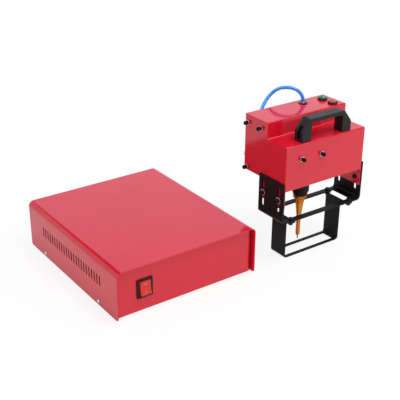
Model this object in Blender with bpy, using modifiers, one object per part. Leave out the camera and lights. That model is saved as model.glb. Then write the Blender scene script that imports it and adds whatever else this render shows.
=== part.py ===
"""A nameplate marking machine: a control box and, beside it, a marking head on its stand.

Metres, +Z up. +X runs to the right along both fronts and +Y to the back. The origin is the
middle of the whole set's footprint, on the surface that both units stand on.
"""

import math

import bmesh
import bpy
from mathutils import Matrix, Vector

# Shared values
GAP = 0.0003  # left between two pieces that touch
OVERRUN = 0.002  # how far a cutter runs past the face it cuts
LAP = 0.0005  # how far shapes that are joined reach into each other
MERGE = 0.000001
ARC_STEPS = 6
ROUND_SIDES = 24
SCREW_SIDES = 10
SMOOTH_ANGLE = math.radians(35)

# Control box: cover
BOX_WIDTH = 0.254
BOX_DEPTH = 0.292
BOX_HEIGHT = 0.081
COVER_SHEET = 0.0015
COVER_BEND = 0.009
COVER_CORNER = 0.005
VENT_COUNT = 24
VENT_PITCH = 0.0082
VENT_WIDTH = 0.003
VENT_HEIGHT = 0.0175
VENT_FIRST = 0.0515
VENT_SILL = 0.0365
COVER_SCREW_FRONT = 0.057
COVER_SCREW_REAR = 0.237
COVER_SCREW_RISE = 0.007
PAN_RADIUS = 0.0028
PAN_CROWN_RADIUS = 0.0019
PAN_HEIGHT = 0.0018
PAN_RIM = 0.0009

# Control box: tray, feet and what stands on the tray
PANEL_RECESS = 0.008
TRAY_SHEET = 0.0012
TRAY_FLANGE = 0.014
TRAY_FOLD = 0.002
PANEL_SIDE_GAP = 0.002
PANEL_TOP_GAP = 0.0006
PANEL_BEND = 0.0025
PANEL_CORNER = 0.0035
PANEL_RETURN = 0.010
FOOT_HEIGHT = 0.0045
FOOT_RADIUS = 0.008
FOOT_INSET_X = 0.033
FOOT_INSET_Y = 0.024
SUPPLY_WIDTH = 0.098
SUPPLY_DEPTH = 0.129
SUPPLY_HEIGHT = 0.038
SUPPLY_LEFT = 0.020
SUPPLY_FRONT = 0.112
SUPPLY_SHEET = 0.002
SUPPLY_BEND = 0.003
SUPPLY_MARGIN = 0.006
TRANSFORMER_SIDE = 0.036
BOARD_DEPTH = 0.130
BOARD_SHEET = 0.0016
BOARD_ROOM = 0.016
BOARD_FRONT = 0.112
POST_RADIUS = 0.003
POST_HEIGHT = 0.008
POST_INSET = 0.006
CHIP_HEIGHT = 0.005
HEATSINK_HEIGHT = 0.028
HEATSINK_FIN = 0.003
HEATSINK_FINS = 5

# Control box: power switch
SWITCH_X = 0.051
SWITCH_RISE = 0.0385
BEZEL_WIDTH = 0.027
BEZEL_HEIGHT = 0.0314
BEZEL_FLANGE = 0.002
BEZEL_BODY_DEPTH = 0.016
BEZEL_RIM = 0.0026
BEZEL_CHEEK = 0.004
BEZEL_CORNER = 0.001
ROCKER_PLAY = 0.0012
ROCKER_THICKNESS = 0.0085
ROCKER_VALLEY = 0.0014
ROCKER_KEEL = 0.004
ROCKER_TILT = math.radians(8)
PIVOT_DEPTH = 0.003

# Control box: rear sockets
INLET_X = 0.070
SOCKET_INSET = 0.089
DATA_INSET = 0.039
REAR_RISE = 0.0365
INLET_WIDTH = 0.048
INLET_HEIGHT = 0.028
INLET_FLANGE = 0.003
INLET_BODY_WIDTH = 0.0274
INLET_BODY_HEIGHT = 0.0202
INLET_BODY_DEPTH = 0.018
INLET_WALL = 0.0016
INLET_MOUTH_DEPTH = 0.014
PIN_WIDTH = 0.002
PIN_HEIGHT = 0.004
PIN_LENGTH = 0.011
PIN_SPACING = 0.007
PIN_DROP = 0.003
PIN_LIFT = 0.004
SOCKET_FLANGE_RADIUS = 0.0125
SOCKET_FLANGE = 0.002
SOCKET_BARREL_RADIUS = 0.0085
SOCKET_MOUTH_RADIUS = 0.0065
SOCKET_MOUTH_DEPTH = 0.009
SOCKET_OUT = 0.018
SOCKET_IN = 0.009
SOCKET_NECK_RADIUS = 0.0075
DATA_WIDTH = 0.016
DATA_HEIGHT = 0.015
DATA_FLANGE = 0.0015
DATA_BODY = 0.0116
DATA_BODY_DEPTH = 0.014
DATA_MOUTH = 0.0084
DATA_MOUTH_DEPTH = 0.009

# Marking head: where it stands, in the control box's terms
HEAD_GAP = 0.051
HEAD_AHEAD = 0.006

# Marking head: folded housing
HOUSING_WIDTH = 0.168
HOUSING_DEPTH = 0.104
TOWER_DEPTH = 0.056
HOUSING_TOP = 0.2375
DECK_TOP = 0.210
FRONT_BOTTOM = 0.135
SIDE_BOTTOM = 0.141
LUG_BOTTOM = 0.1055
LUG_BACK = 0.046
HOUSING_SHEET = 0.0015
HOUSING_BEND = 0.0025

# Marking head: rear panel and inner frame
REAR_FLANGE = 0.0115
REAR_FOLD = 0.0025
FRAME_SHEET = 0.002
FRAME_FOLD = 0.0025
FRAME_BACK = 0.013
FRAME_FRONT = 0.046
FRAME_BOTTOM = 0.150
FRAME_TOP = 0.228
WEB_TOP = 0.206
EAR_WIDTH = 0.008

# Marking head: cap screws with washers
CAP_RADIUS = 0.0035
CAP_HEIGHT = 0.0055
WASHER_RADIUS = 0.0045
WASHER_SHEET = 0.0008
SHANK_RADIUS = 0.002
SHANK_LENGTH = 0.007
TOP_SCREW_REAR = 0.0055
TOP_SCREW_FRONT = 0.0385
TOP_SCREW_Z = 0.223
LOW_SCREW_Z = 0.1455
FRONT_SCREW_LEFT = 0.033
FRONT_SCREW_RIGHT = 0.0745
FRONT_SCREW_Z = 0.1845

# Marking head: handle
HANDLE_OFFSET = 0.002
HANDLE_LENGTH = 0.1035
HANDLE_HEIGHT = 0.0365
HANDLE_WIDTH = 0.019
HANDLE_FRONT = 0.1005
HANDLE_SHOULDER = 0.0165
HANDLE_SLANT = 0.0155
HANDLE_LEG = 0.0185
HANDLE_GRIP = 0.0068
HANDLE_CURVE = 0.004
HANDLE_EDGE = 0.0018

# Marking head: buttons
BUTTON_INSET = 0.0185
START_Y = 0.019
STOP_Y = 0.0435
RING_RADIUS = 0.0085
RING_HEIGHT = 0.0026
BARREL_RADIUS = 0.0074
BARREL_DEPTH = 0.020
BUTTON_RADIUS = 0.0062
BUTTON_DEPTH = 0.006
BUTTON_WELL = 0.010
START_RISE = 0.0092
STOP_RISE = 0.003
BUTTON_EDGE = 0.001

# Marking head: air tube and its fittings
TUBE_RADIUS = 0.0029
TUBE_STUB = 0.0008
FITTING_INSET = 0.0597
FITTING_Y = 0.0161
HEX_RADIUS = 0.0056
HEX_HEIGHT = 0.008
HEX_PROUD = 0.004
STEM_RADIUS = 0.0035
STEM_LENGTH = 0.010
COLLAR_RADIUS = 0.0056
COLLAR_MOUTH = 0.0038
COLLAR_HEIGHT = 0.0022
GROMMET_RADIUS = 0.0078
GROMMET_HEIGHT = 0.0009
GROMMET_NECK = 0.0068
ELBOW_X = 0.037
ELBOW_Z = 0.196
ELBOW_OUT = 0.0115
ELBOW_DROP = 0.006
ELBOW_RISE = 0.010
ELBOW_NUT_RADIUS = 0.0065
ELBOW_NUT = 0.004
ELBOW_IN = 0.009
PLUG_X = 0.021
PLUG_Z = 0.159

# Stand: side bracket
BRACKET_SHEET = 0.0025
BRACKET_BEND = 0.007
BRACKET_BOTTOM = 0.078
BRACKET_TOP = 0.148
BRACKET_FRONT = 0.105
BRACKET_BACK = 0.043
RAIL_WIDTH = 0.010
WINDOW_END = 0.010
SLOT_WIDTH = 0.006
SLOT_BOTTOM = 0.094
SLOT_TOP = 0.1405
SLOT_REAR = 0.0537
SLOT_FRONT = 0.0925

# Stand: screws that clamp the housing at its height
CLAMP_Z = 0.1175
CLAMP_HEAD_RADIUS = 0.0042
CLAMP_HEAD = 0.0045
CLAMP_WASHER_RADIUS = 0.0052
CLAMP_SHANK_RADIUS = 0.0024
CLAMP_NUT_RADIUS = 0.004
CLAMP_NUT = 0.003

# Stand: lower frame and its bolts
LOWER_WIDTH = 0.123
LOWER_SHEET = 0.0025
LOWER_BEND = 0.006
LOWER_FRONT = 0.085
LOWER_BACK = 0.051
LOWER_STRIP = 0.005
LOWER_END = 0.004
EAR_REACH = 0.0075
BOLT_OUT = 0.003
BOLT_HEAD_RADIUS = 0.004
BOLT_HEAD = 0.003
BOLT_RADIUS = 0.002
NUT_RADIUS = 0.0038
NUT_HEIGHT = 0.0038

# Marking stage, measured from the stylus axis at rest
STYLUS_X = 0.066
STYLUS_Y = 0.068
X_RAIL_DEPTH = 0.008
X_RAIL_HEIGHT = 0.012
X_RAIL_Z = 0.178
X_RAIL_END = 0.008
SADDLE_HALF = 0.017
SADDLE_FRONT = 0.031
SADDLE_WALL = 0.009
ARM_SHEET = 0.006
ARM_BOTTOM = 0.163
ARM_FRONT = 0.098
ARM_RIGHT = 0.027
NUT_LUG_HALF = 0.008
NUT_LUG_DEPTH = 0.012
NUT_LUG_WALL = 0.006
X_SCREW_RADIUS = 0.003
X_SCREW_Y = 0.033
X_SCREW_Z = 0.212
X_MOTOR_SIZE = 0.035
X_MOTOR_LENGTH = 0.028
MOTOR_BOSS_RADIUS = 0.011
MOTOR_BOSS = 0.002
MOTOR_CORNER = 0.003
BEARING_RADIUS = 0.007
BEARING_LENGTH = 0.006
BEARING_SEAT = 0.005
Y_RAIL_WIDTH = 0.007
Y_RAIL_HEIGHT = 0.005
Y_RAIL_BACK = 0.042
Y_RAIL_FRONT = 0.096
BLOCK_HALF = 0.013
BLOCK_DEPTH = 0.024
BLOCK_HEIGHT = 0.014
Y_LUG_REACH = 0.022
Y_LUG_DEPTH = 0.012
Y_LUG_HEIGHT = 0.010
Y_SCREW_RADIUS = 0.002
Y_SCREW_OUT = 0.017
Y_SCREW_Z = 0.1525
Y_BEARING_SHEET = 0.004
Y_MOTOR_SIZE = 0.020
Y_MOTOR_FRONT = 0.040
Y_MOTOR_LENGTH = 0.023
Y_BOSS_RADIUS = 0.006
VALVE_LEFT = 0.024
VALVE_WIDTH = 0.060
VALVE_DEPTH = 0.019
VALVE_BOTTOM = 0.174
VALVE_HEIGHT = 0.022
VALVE_COIL = 0.026
VALVE_COIL_RISE = 0.004

# Stylus
HOLDER_RADIUS = 0.0145
HOLDER_SHOULDER = 0.1095
HOLDER_MOUTH_RADIUS = 0.0116
HOLDER_BOTTOM = 0.102
PEN_FLANGE_RADIUS = 0.0115
PEN_FLANGE = 0.005
PEN_NECK_RADIUS = 0.0078
PEN_NECK = 0.0045
PEN_WAIST_RADIUS = 0.0036
PEN_WAIST_Z = 0.06
PEN_BOTTOM = 0.0255
PEN_TIP_RADIUS = 0.0028
PEN_TIP = 0.002
NOSE_BORE = 0.00135
CHAMBER_RADIUS = 0.0026
CHAMBER_BOTTOM = 0.027
CHAMBER_TOP = 0.0535
NEEDLE_RADIUS = 0.001
NEEDLE_TIP = 0.0172
NEEDLE_POINT_RADIUS = 0.0002
NEEDLE_POINT = 0.0024
NEEDLE_HEAD_RADIUS = 0.0022
NEEDLE_HEAD = 0.005
SPRING_WIRE = 0.0003
SPRING_RADIUS = 0.0018
SPRING_TURNS = 6
SPRING_STEPS = 8

# The tube's route in the head's terms, from the top fitting to the elbow
TUBE_ROUTE = (
    (0.10719, -0.01491, 0.24963),
    (0.10538, -0.01297, 0.25399),
    (0.10294, -0.01037, 0.25763),
    (0.09999, -0.00729, 0.26043),
    (0.09664, -0.00390, 0.26225),
    (0.09305, -0.00038, 0.26314),
    (0.08936, 0.00313, 0.26340),
    (0.08560, 0.00658, 0.26316),
    (0.08179, 0.00990, 0.26243),
    (0.07804, 0.01298, 0.26086),
    (0.07460, 0.01573, 0.25828),
    (0.07133, 0.01794, 0.25505),
    (0.06785, 0.01947, 0.25164),
    (0.06409, 0.02021, 0.24827),
    (0.06022, 0.02013, 0.24494),
    (0.05641, 0.01935, 0.24164),
    (0.05273, 0.01812, 0.23831),
    (0.04920, 0.01672, 0.23490),
    (0.04580, 0.01529, 0.23136),
    (0.04266, 0.01395, 0.22756),
    (0.04010, 0.01284, 0.22329),
    (0.03830, 0.01206, 0.21858),
    (0.03730, 0.01163, 0.21360),
)

# Places worked out from the sizes above
COVER_BOTTOM = FOOT_HEIGHT
COVER_TOP = COVER_BOTTOM + BOX_HEIGHT
TRAY_BOTTOM = FOOT_HEIGHT + GAP
TRAY_FLOOR = TRAY_BOTTOM + TRAY_SHEET
PANEL_TOP = COVER_TOP - COVER_SHEET - PANEL_TOP_GAP
REAR_PANEL_Y = BOX_DEPTH - PANEL_RECESS
SOCKET_X = BOX_WIDTH - SOCKET_INSET
DATA_X = BOX_WIDTH - DATA_INSET
BOARD_LEFT = SUPPLY_LEFT + SUPPLY_WIDTH + BOARD_ROOM
BOARD_WIDTH = BOX_WIDTH - SUPPLY_LEFT - BOARD_LEFT
BOARD_Z = TRAY_FLOOR + POST_HEIGHT + GAP
HEAD_X = BOX_WIDTH + HEAD_GAP
HEAD_Y = HOUSING_DEPTH - HEAD_AHEAD
HOUSING_MIDDLE = HOUSING_WIDTH / 2
HANDLE_MIDDLE = HOUSING_MIDDLE + HANDLE_OFFSET
BUTTON_X = HOUSING_WIDTH - BUTTON_INSET
FITTING_X = HOUSING_WIDTH - FITTING_INSET
BRACKET_OUT = GAP + BRACKET_SHEET
LEFT_REACH = GAP + PAN_HEIGHT
RIGHT_REACH = HEAD_X + HOUSING_WIDTH + BRACKET_OUT + GAP + WASHER_SHEET + CLAMP_HEAD
FRONT_REACH = HEAD_AHEAD + GAP + WASHER_SHEET + CAP_HEIGHT
BACK_REACH = REAR_PANEL_Y + GAP + SOCKET_OUT
BOX_PLACE = ((LEFT_REACH - RIGHT_REACH) / 2, (FRONT_REACH - BACK_REACH) / 2, 0)
HEAD_PLACE = (BOX_PLACE[0] + HEAD_X, BOX_PLACE[1] + HEAD_Y, 0)

RED_PAINT = ("red_paint", (0.62, 0.018, 0.03), 0.25, 0.0)
BLACK_COAT = ("black_coat", (0.012, 0.012, 0.013), 0.45, 0.3)
BLACK_PLASTIC = ("black_plastic", (0.02, 0.02, 0.021), 0.5, 0.0)
BLACK_STEEL = ("black_steel", (0.01, 0.01, 0.01), 0.35, 0.8)
BLACK_ANODISE = ("black_anodise", (0.012, 0.012, 0.014), 0.35, 0.5)
NICKEL = ("nickel", (0.72, 0.71, 0.68), 0.3, 1.0)
STEEL = ("steel", (0.5, 0.5, 0.5), 0.35, 1.0)
ZINC = ("zinc", (0.45, 0.46, 0.47), 0.45, 0.9)
ALUMINIUM = ("aluminium", (0.6, 0.6, 0.6), 0.4, 1.0)
BRASS = ("brass", (0.75, 0.5, 0.15), 0.3, 1.0)
GOLD_ANODISE = ("gold_anodise", (0.75, 0.22, 0.01), 0.3, 0.6)
CARBIDE = ("carbide", (0.08, 0.08, 0.085), 0.3, 0.9)
GREY_RUBBER = ("grey_rubber", (0.2, 0.2, 0.21), 0.8, 0.0)
RED_LENS = ("red_lens", (0.8, 0.04, 0.02), 0.3, 0.0)
RED_CAP = ("red_cap", (0.6, 0.05, 0.04), 0.35, 0.0)
GREEN_CAP = ("green_cap", (0.01, 0.2, 0.1), 0.25, 0.0)
BLUE_TUBE = ("blue_tube", (0.02, 0.2, 0.8), 0.25, 0.0)
BOARD_GREEN = ("board_green", (0.01, 0.12, 0.05), 0.5, 0.0)


def clear_scene():
    for obj in list(bpy.data.objects):
        bpy.data.objects.remove(obj)


def new_collection(name):
    made = bpy.data.collections.new(name)
    bpy.context.scene.collection.children.link(made)
    return made


clear_scene()
PARTS = new_collection("nameplate_marking_machine")
CUTTERS = new_collection("cutters")


def new_frame(name, place, parent=None):
    """An empty that a unit or a moving group hangs on."""
    frame = bpy.data.objects.new(name, None)
    frame.location = place
    frame.parent = parent
    PARTS.objects.link(frame)
    return frame


BOX = new_frame("control_box", BOX_PLACE)
HEAD = new_frame("marking_head", HEAD_PLACE)


def material_for(name, look):
    """The piece's own material, from its finish's colour, roughness and metallic value."""
    finish, colour, roughness, metallic = look
    made = bpy.data.materials.new(f"{name}_{finish}")
    made.use_nodes = True
    shader = made.node_tree.nodes["Principled BSDF"]
    shader.inputs["Base Color"].default_value = (*colour, 1)
    shader.inputs["Roughness"].default_value = roughness
    shader.inputs["Metallic"].default_value = metallic
    return made


def add(name, mesh, frame, look, place=(0, 0, 0)):
    obj = bpy.data.objects.new(name, mesh)
    obj.parent = frame
    obj.location = place
    PARTS.objects.link(obj)
    if look:
        mesh.materials.append(material_for(name, look))
    return obj


def tidy_mesh(shape, name):
    """Welds a bmesh, turns its faces outwards and returns it as a mesh shaded smooth between its edges."""
    bmesh.ops.remove_doubles(shape, verts=shape.verts, dist=MERGE)
    bmesh.ops.recalc_face_normals(shape, faces=shape.faces)
    mesh = bpy.data.meshes.new(name)
    shape.to_mesh(mesh)
    shape.free()
    mesh.shade_smooth()
    mesh.set_sharp_from_angle(angle=SMOOTH_ANGLE)
    return mesh


def block(name, low, high, frame, look=None):
    """A box between two corners, with its origin in its middle."""
    low, high = Vector(low), Vector(high)
    shape = bmesh.new()
    bmesh.ops.create_cube(shape, size=1)
    bmesh.ops.scale(shape, vec=high - low, verts=shape.verts)
    return add(name, tidy_mesh(shape, name), frame, look, (low + high) / 2)


TURNS = {
    "X": Matrix.Rotation(math.pi / 2, 4, "Y"),
    "-X": Matrix.Rotation(-math.pi / 2, 4, "Y"),
    "Y": Matrix.Rotation(-math.pi / 2, 4, "X"),
    "-Y": Matrix.Rotation(math.pi / 2, 4, "X"),
    "Z": Matrix.Identity(4),
}


def rod(name, radius, length, base, axis, frame, look=None, sides=ROUND_SIDES):
    """A cylinder that runs from its base along an axis, with its origin at the base."""
    shape = bmesh.new()
    bmesh.ops.create_cone(
        shape, cap_ends=True, segments=sides, radius1=radius, radius2=radius, depth=length
    )
    bmesh.ops.translate(shape, vec=(0, 0, length / 2), verts=shape.verts)
    bmesh.ops.transform(shape, matrix=TURNS[axis], verts=shape.verts)
    return add(name, tidy_mesh(shape, name), frame, look, base)


def turned(name, profile, base, axis, frame, look=None, sides=ROUND_SIDES, closed=False):
    """A profile of (radius, height) points, from the top down its outer side, turned about an axis."""
    mesh = bpy.data.meshes.new(name)
    count = len(profile)
    edges = [(i, i + 1) for i in range(count - 1)]
    if closed:
        edges.append((count - 1, 0))
    mesh.from_pydata([(radius, 0, height) for radius, height in profile], edges, [])
    obj = add(name, mesh, frame, look, base)
    obj.rotation_euler = TURNS[axis].to_euler()
    screw = obj.modifiers.new("turn", "SCREW")
    screw.steps = sides
    screw.render_steps = sides
    screw.use_merge_vertices = True
    screw.merge_threshold = MERGE
    return obj


def rounded(corners):
    """The outline through corners of (u, v, radius), with each corner rounded by an arc."""
    points = []
    for i, (u, v, radius) in enumerate(corners):
        corner = Vector((u, v))
        if not radius:
            points.append(corner)
            continue
        before = (Vector(corners[i - 1][:2]) - corner).normalized()
        after = (Vector(corners[(i + 1) % len(corners)][:2]) - corner).normalized()
        half = before.angle(after) / 2
        middle = corner + (before + after).normalized() * radius / math.sin(half)
        first = corner + before * radius / math.tan(half) - middle
        last = corner + after * radius / math.tan(half) - middle
        start = math.atan2(first.y, first.x)
        turn = (math.atan2(last.y, last.x) - start + math.pi) % math.tau - math.pi
        for step in range(ARC_STEPS + 1):
            angle = start + turn * step / ARC_STEPS
            points.append(middle + Vector((math.cos(angle), math.sin(angle))) * radius)
    return points


PLANES = {
    "XY": Matrix.Identity(4),
    "XZ": Matrix(((1, 0, 0, 0), (0, 0, -1, 0), (0, 1, 0, 0), (0, 0, 0, 1))),
    "YZ": Matrix(((0, 0, 1, 0), (1, 0, 0, 0), (0, 1, 0, 0), (0, 0, 0, 1))),
}


def plate(name, corners, plane, low, high, frame, look=None, place=(0, 0, 0)):
    """A flat outline of (u, v, radius) corners in a plane, run from low to high along its normal."""
    curve = bpy.data.curves.new(name, "CURVE")
    curve.dimensions = "2D"
    curve.fill_mode = "BOTH"
    curve.extrude = (high - low) / 2
    points = rounded(corners)
    spline = curve.splines.new("POLY")
    spline.points.add(len(points) - 1)
    for target, (u, v) in zip(spline.points, points):
        target.co = (u, v, 0, 1)
    spline.use_cyclic_u = True
    source = bpy.data.objects.new(name, curve)
    CUTTERS.objects.link(source)
    evaluated = source.evaluated_get(bpy.context.evaluated_depsgraph_get())
    flat = bpy.data.meshes.new_from_object(evaluated)
    bpy.data.objects.remove(source)
    shape = bmesh.new()
    shape.from_mesh(flat)
    bpy.data.meshes.remove(flat)
    middle = (low + high) / 2
    lift = Matrix.Translation((0, 0, -middle if plane == "XZ" else middle))
    bmesh.ops.transform(shape, matrix=PLANES[plane] @ lift, verts=shape.verts)
    return add(name, tidy_mesh(shape, name), frame, look, place)


def combine(target, operation, tools):
    for tool in tools:
        modifier = target.modifiers.new(operation.lower(), "BOOLEAN")
        modifier.operation = operation
        modifier.object = tool
        tool.hide_render = True
        tool.display_type = "WIRE"
        PARTS.objects.unlink(tool)
        CUTTERS.objects.link(tool)
    return target


def cut(target, *tools):
    return combine(target, "DIFFERENCE", tools)


def join(target, *tools):
    return combine(target, "UNION", tools)


def row_of_boxes(name, low, high, step, count, frame):
    """A box and its copies, one step apart, as one cutter."""
    low, high, step = Vector(low), Vector(high), Vector(step)
    shape = bmesh.new()
    for i in range(count):
        made = bmesh.ops.create_cube(shape, size=1)["verts"]
        bmesh.ops.scale(shape, vec=high - low, verts=made)
        bmesh.ops.translate(shape, vec=(low + high) / 2 + step * i, verts=made)
    return add(name, tidy_mesh(shape, name), frame, None)


def channel(width_low, width_high, floor, walls, sheet, bend):
    """Corners of a sheet folded up at both sides: outer outline, then back along the inner one."""
    inner_bend = max(bend - sheet, 0)
    return (
        (width_low, walls, 0),
        (width_low, floor, bend),
        (width_high, floor, bend),
        (width_high, walls, 0),
        (width_high - sheet, walls, 0),
        (width_high - sheet, floor + sheet, inner_bend),
        (width_low + sheet, floor + sheet, inner_bend),
        (width_low + sheet, walls, 0),
    )


def rectangle(u_low, u_high, v_low, v_high, radius=0):
    return (
        (u_low, v_low, radius),
        (u_high, v_low, radius),
        (u_high, v_high, radius),
        (u_low, v_high, radius),
    )


# Control box

def make_cover():
    """The folded cover: two sides and a top, open at the front, the back and below."""
    outline = [
        (0, COVER_BOTTOM, 0),
        (0, COVER_TOP, COVER_BEND),
        (BOX_WIDTH, COVER_TOP, COVER_BEND),
        (BOX_WIDTH, COVER_BOTTOM, 0),
        (BOX_WIDTH - COVER_SHEET, COVER_BOTTOM, 0),
        (BOX_WIDTH - COVER_SHEET, COVER_TOP - COVER_SHEET, COVER_BEND - COVER_SHEET),
        (COVER_SHEET, COVER_TOP - COVER_SHEET, COVER_BEND - COVER_SHEET),
        (COVER_SHEET, COVER_BOTTOM, 0),
    ]
    cover = plate("controller_cover", outline, "XZ", 0, BOX_DEPTH, BOX, RED_PAINT)
    side = (
        (0, COVER_BOTTOM, COVER_CORNER),
        (BOX_DEPTH, COVER_BOTTOM, COVER_CORNER),
        (BOX_DEPTH, COVER_TOP + OVERRUN, 0),
        (0, COVER_TOP + OVERRUN, 0),
    )
    rounder = plate("cover_side_outline", side, "YZ", -OVERRUN, BOX_WIDTH + OVERRUN, BOX)
    combine(cover, "INTERSECT", [rounder])
    sill = COVER_BOTTOM + VENT_SILL
    vents = row_of_boxes(
        "vent_slots",
        (-OVERRUN, VENT_FIRST - VENT_WIDTH / 2, sill),
        (BOX_WIDTH + OVERRUN, VENT_FIRST + VENT_WIDTH / 2, sill + VENT_HEIGHT),
        (0, VENT_PITCH, 0),
        VENT_COUNT,
        BOX,
    )
    return cut(cover, vents, *side_screw_holes("cover"))


def side_screw_holes(name):
    """One cutter for each pair of opposite screws through the cover's sides."""
    return [
        rod(
            f"{name}_hole_{y:.3f}",
            SHANK_RADIUS + GAP,
            BOX_WIDTH + 2 * OVERRUN,
            (-OVERRUN, y, COVER_BOTTOM + COVER_SCREW_RISE),
            "X",
            BOX,
            sides=SCREW_SIDES,
        )
        for y in (COVER_SCREW_FRONT, COVER_SCREW_REAR)
    ]


def make_panel(name, face, inward):
    """A front or rear panel whose sides return inwards; face is its outer side's y."""
    left = COVER_SHEET + PANEL_SIDE_GAP
    outline = channel(
        left, BOX_WIDTH - left, 0, PANEL_RETURN, TRAY_SHEET, PANEL_BEND
    )
    corners = [(u, face + v * inward, radius) for u, v, radius in outline]
    return plate(name, corners, "XY", TRAY_BOTTOM + TRAY_SHEET / 2, PANEL_TOP, BOX)


def panel_corners():
    """Cutters that slant the panels' top corners clear of the cover's bends."""
    cutters = []
    for edge, inward in ((COVER_SHEET + PANEL_SIDE_GAP, 1), (BOX_WIDTH - COVER_SHEET - PANEL_SIDE_GAP, -1)):
        outline = (
            (edge - OVERRUN * inward, PANEL_TOP + OVERRUN, 0),
            (edge + (PANEL_CORNER + OVERRUN) * inward, PANEL_TOP + OVERRUN, 0),
            (edge - OVERRUN * inward, PANEL_TOP - PANEL_CORNER - OVERRUN, 0),
        )
        cutters.append(plate("panel_corner", outline, "XZ", 0, BOX_DEPTH, BOX))
    return cutters


def make_tray():
    """The tray: floor with side flanges, front and rear panels, and the board's posts."""
    outline = channel(
        COVER_SHEET + GAP,
        BOX_WIDTH - COVER_SHEET - GAP,
        TRAY_BOTTOM,
        TRAY_BOTTOM + TRAY_FLANGE,
        TRAY_SHEET,
        TRAY_FOLD,
    )
    inset = PANEL_RECESS + TRAY_SHEET / 2
    tray = plate("controller_tray", outline, "XZ", inset, BOX_DEPTH - inset, BOX, RED_PAINT)
    cut(tray, *flange_notches())
    join(tray, make_panel("tray_front", PANEL_RECESS, 1), make_panel("tray_rear", REAR_PANEL_Y, -1))
    join(tray, *board_posts())
    cut(tray, *panel_corners(), switch_cutout(), *rear_cutouts(), *side_screw_holes("tray"))
    return tray


def flange_notches():
    """Cutters that end the tray's side flanges clear of the panels' returns."""
    edge = COVER_SHEET + PANEL_SIDE_GAP + TRAY_SHEET / 2
    reach = PANEL_RECESS + PANEL_RETURN + GAP
    low_z, high_z = TRAY_BOTTOM - OVERRUN, TRAY_BOTTOM + TRAY_FLANGE + OVERRUN
    notches = []
    for low_x, high_x in ((0, edge), (BOX_WIDTH - edge, BOX_WIDTH)):
        for low_y, high_y in ((0, reach), (BOX_DEPTH - reach, BOX_DEPTH)):
            low, high = (low_x, low_y, low_z), (high_x, high_y, high_z)
            notches.append(block("flange_notch", low, high, BOX))
    return notches


def board_posts():
    posts = []
    for x in (BOARD_LEFT + POST_INSET, BOARD_LEFT + BOARD_WIDTH - POST_INSET):
        for y in (BOARD_FRONT + POST_INSET, BOARD_FRONT + BOARD_DEPTH - POST_INSET):
            base = (x, y, TRAY_FLOOR - LAP)
            height = POST_HEIGHT + LAP
            posts.append(rod("board_post", POST_RADIUS, height, base, "Z", BOX, sides=SCREW_SIDES))
    return posts


def switch_body_half():
    return BEZEL_WIDTH / 2 - BEZEL_RIM, BEZEL_HEIGHT / 2 - BEZEL_RIM / 2


def switch_cutout():
    half_x, half_z = switch_body_half()
    z = COVER_BOTTOM + SWITCH_RISE
    return block(
        "switch_cutout",
        (SWITCH_X - half_x - GAP, PANEL_RECESS - OVERRUN, z - half_z - GAP),
        (SWITCH_X + half_x + GAP, PANEL_RECESS + TRAY_SHEET + OVERRUN, z + half_z + GAP),
        BOX,
    )


def rear_cutouts():
    z = COVER_BOTTOM + REAR_RISE
    low_y = REAR_PANEL_Y - TRAY_SHEET - OVERRUN
    high_y = REAR_PANEL_Y + OVERRUN
    cutters = []
    for x, width, height in (
        (INLET_X, INLET_BODY_WIDTH, INLET_BODY_HEIGHT),
        (DATA_X, DATA_BODY, DATA_BODY),
    ):
        half_x, half_z = width / 2 + GAP, height / 2 + GAP
        low, high = (x - half_x, low_y, z - half_z), (x + half_x, high_y, z + half_z)
        cutters.append(block("rear_cutout", low, high, BOX))
    length = TRAY_SHEET + 2 * OVERRUN
    radius = SOCKET_NECK_RADIUS + GAP
    cutters.append(rod("socket_cutout", radius, length, (SOCKET_X, low_y, z), "Y", BOX))
    return cutters


def make_feet():
    places = [
        (x, y)
        for x in (FOOT_INSET_X, BOX_WIDTH - FOOT_INSET_X)
        for y in (FOOT_INSET_Y, BOX_DEPTH - FOOT_INSET_Y)
    ]
    for number, (x, y) in enumerate(places, 1):
        base = (x, y, 0)
        rod(f"controller_foot_{number}", FOOT_RADIUS, FOOT_HEIGHT, base, "Z", BOX, GREY_RUBBER)


def make_switch():
    """The bezel, a frame with a sleeve through the panel, and the rocker that tilts in it."""
    z = COVER_BOTTOM + SWITCH_RISE
    half_x, half_z = BEZEL_WIDTH / 2, BEZEL_HEIGHT / 2
    outer = rectangle(SWITCH_X - half_x, SWITCH_X + half_x, z - half_z, z + half_z, BEZEL_CORNER)
    front = PANEL_RECESS - GAP - BEZEL_FLANGE
    bezel = plate("switch_bezel", outer, "XZ", front, PANEL_RECESS - GAP, BOX, BLACK_PLASTIC)
    body_x, body_z = switch_body_half()
    back = PANEL_RECESS + BEZEL_BODY_DEPTH
    body = block(
        "switch_body",
        (SWITCH_X - body_x, PANEL_RECESS - GAP - LAP, z - body_z),
        (SWITCH_X + body_x, back, z + body_z),
        BOX,
    )
    mouth_x, mouth_z = half_x - BEZEL_CHEEK, half_z - BEZEL_RIM
    mouth = block(
        "switch_mouth",
        (SWITCH_X - mouth_x, front - OVERRUN, z - mouth_z),
        (SWITCH_X + mouth_x, back - BEZEL_FLANGE, z + mouth_z),
        BOX,
    )
    cut(join(bezel, body), mouth)
    make_rocker(z, mouth_x - GAP, mouth_z - ROCKER_PLAY)


def make_rocker(z, half_width, half_height):
    """The rocker, pivoted behind the panel and tilted so that its lower half stands out."""
    face = -ROCKER_THICKNESS
    corners = (
        (face, -half_height, 0),
        (face + ROCKER_VALLEY, 0, 0),
        (face, half_height, 0),
        (0, half_height, 0),
        (ROCKER_KEEL, 0, 0),
        (0, -half_height, 0),
    )
    pivot = (SWITCH_X, PANEL_RECESS + PIVOT_DEPTH, z)
    rocker = plate(
        "switch_rocker", corners, "YZ", -half_width, half_width, BOX, RED_LENS, pivot
    )
    rocker.rotation_euler.x = -ROCKER_TILT
    return rocker


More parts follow.
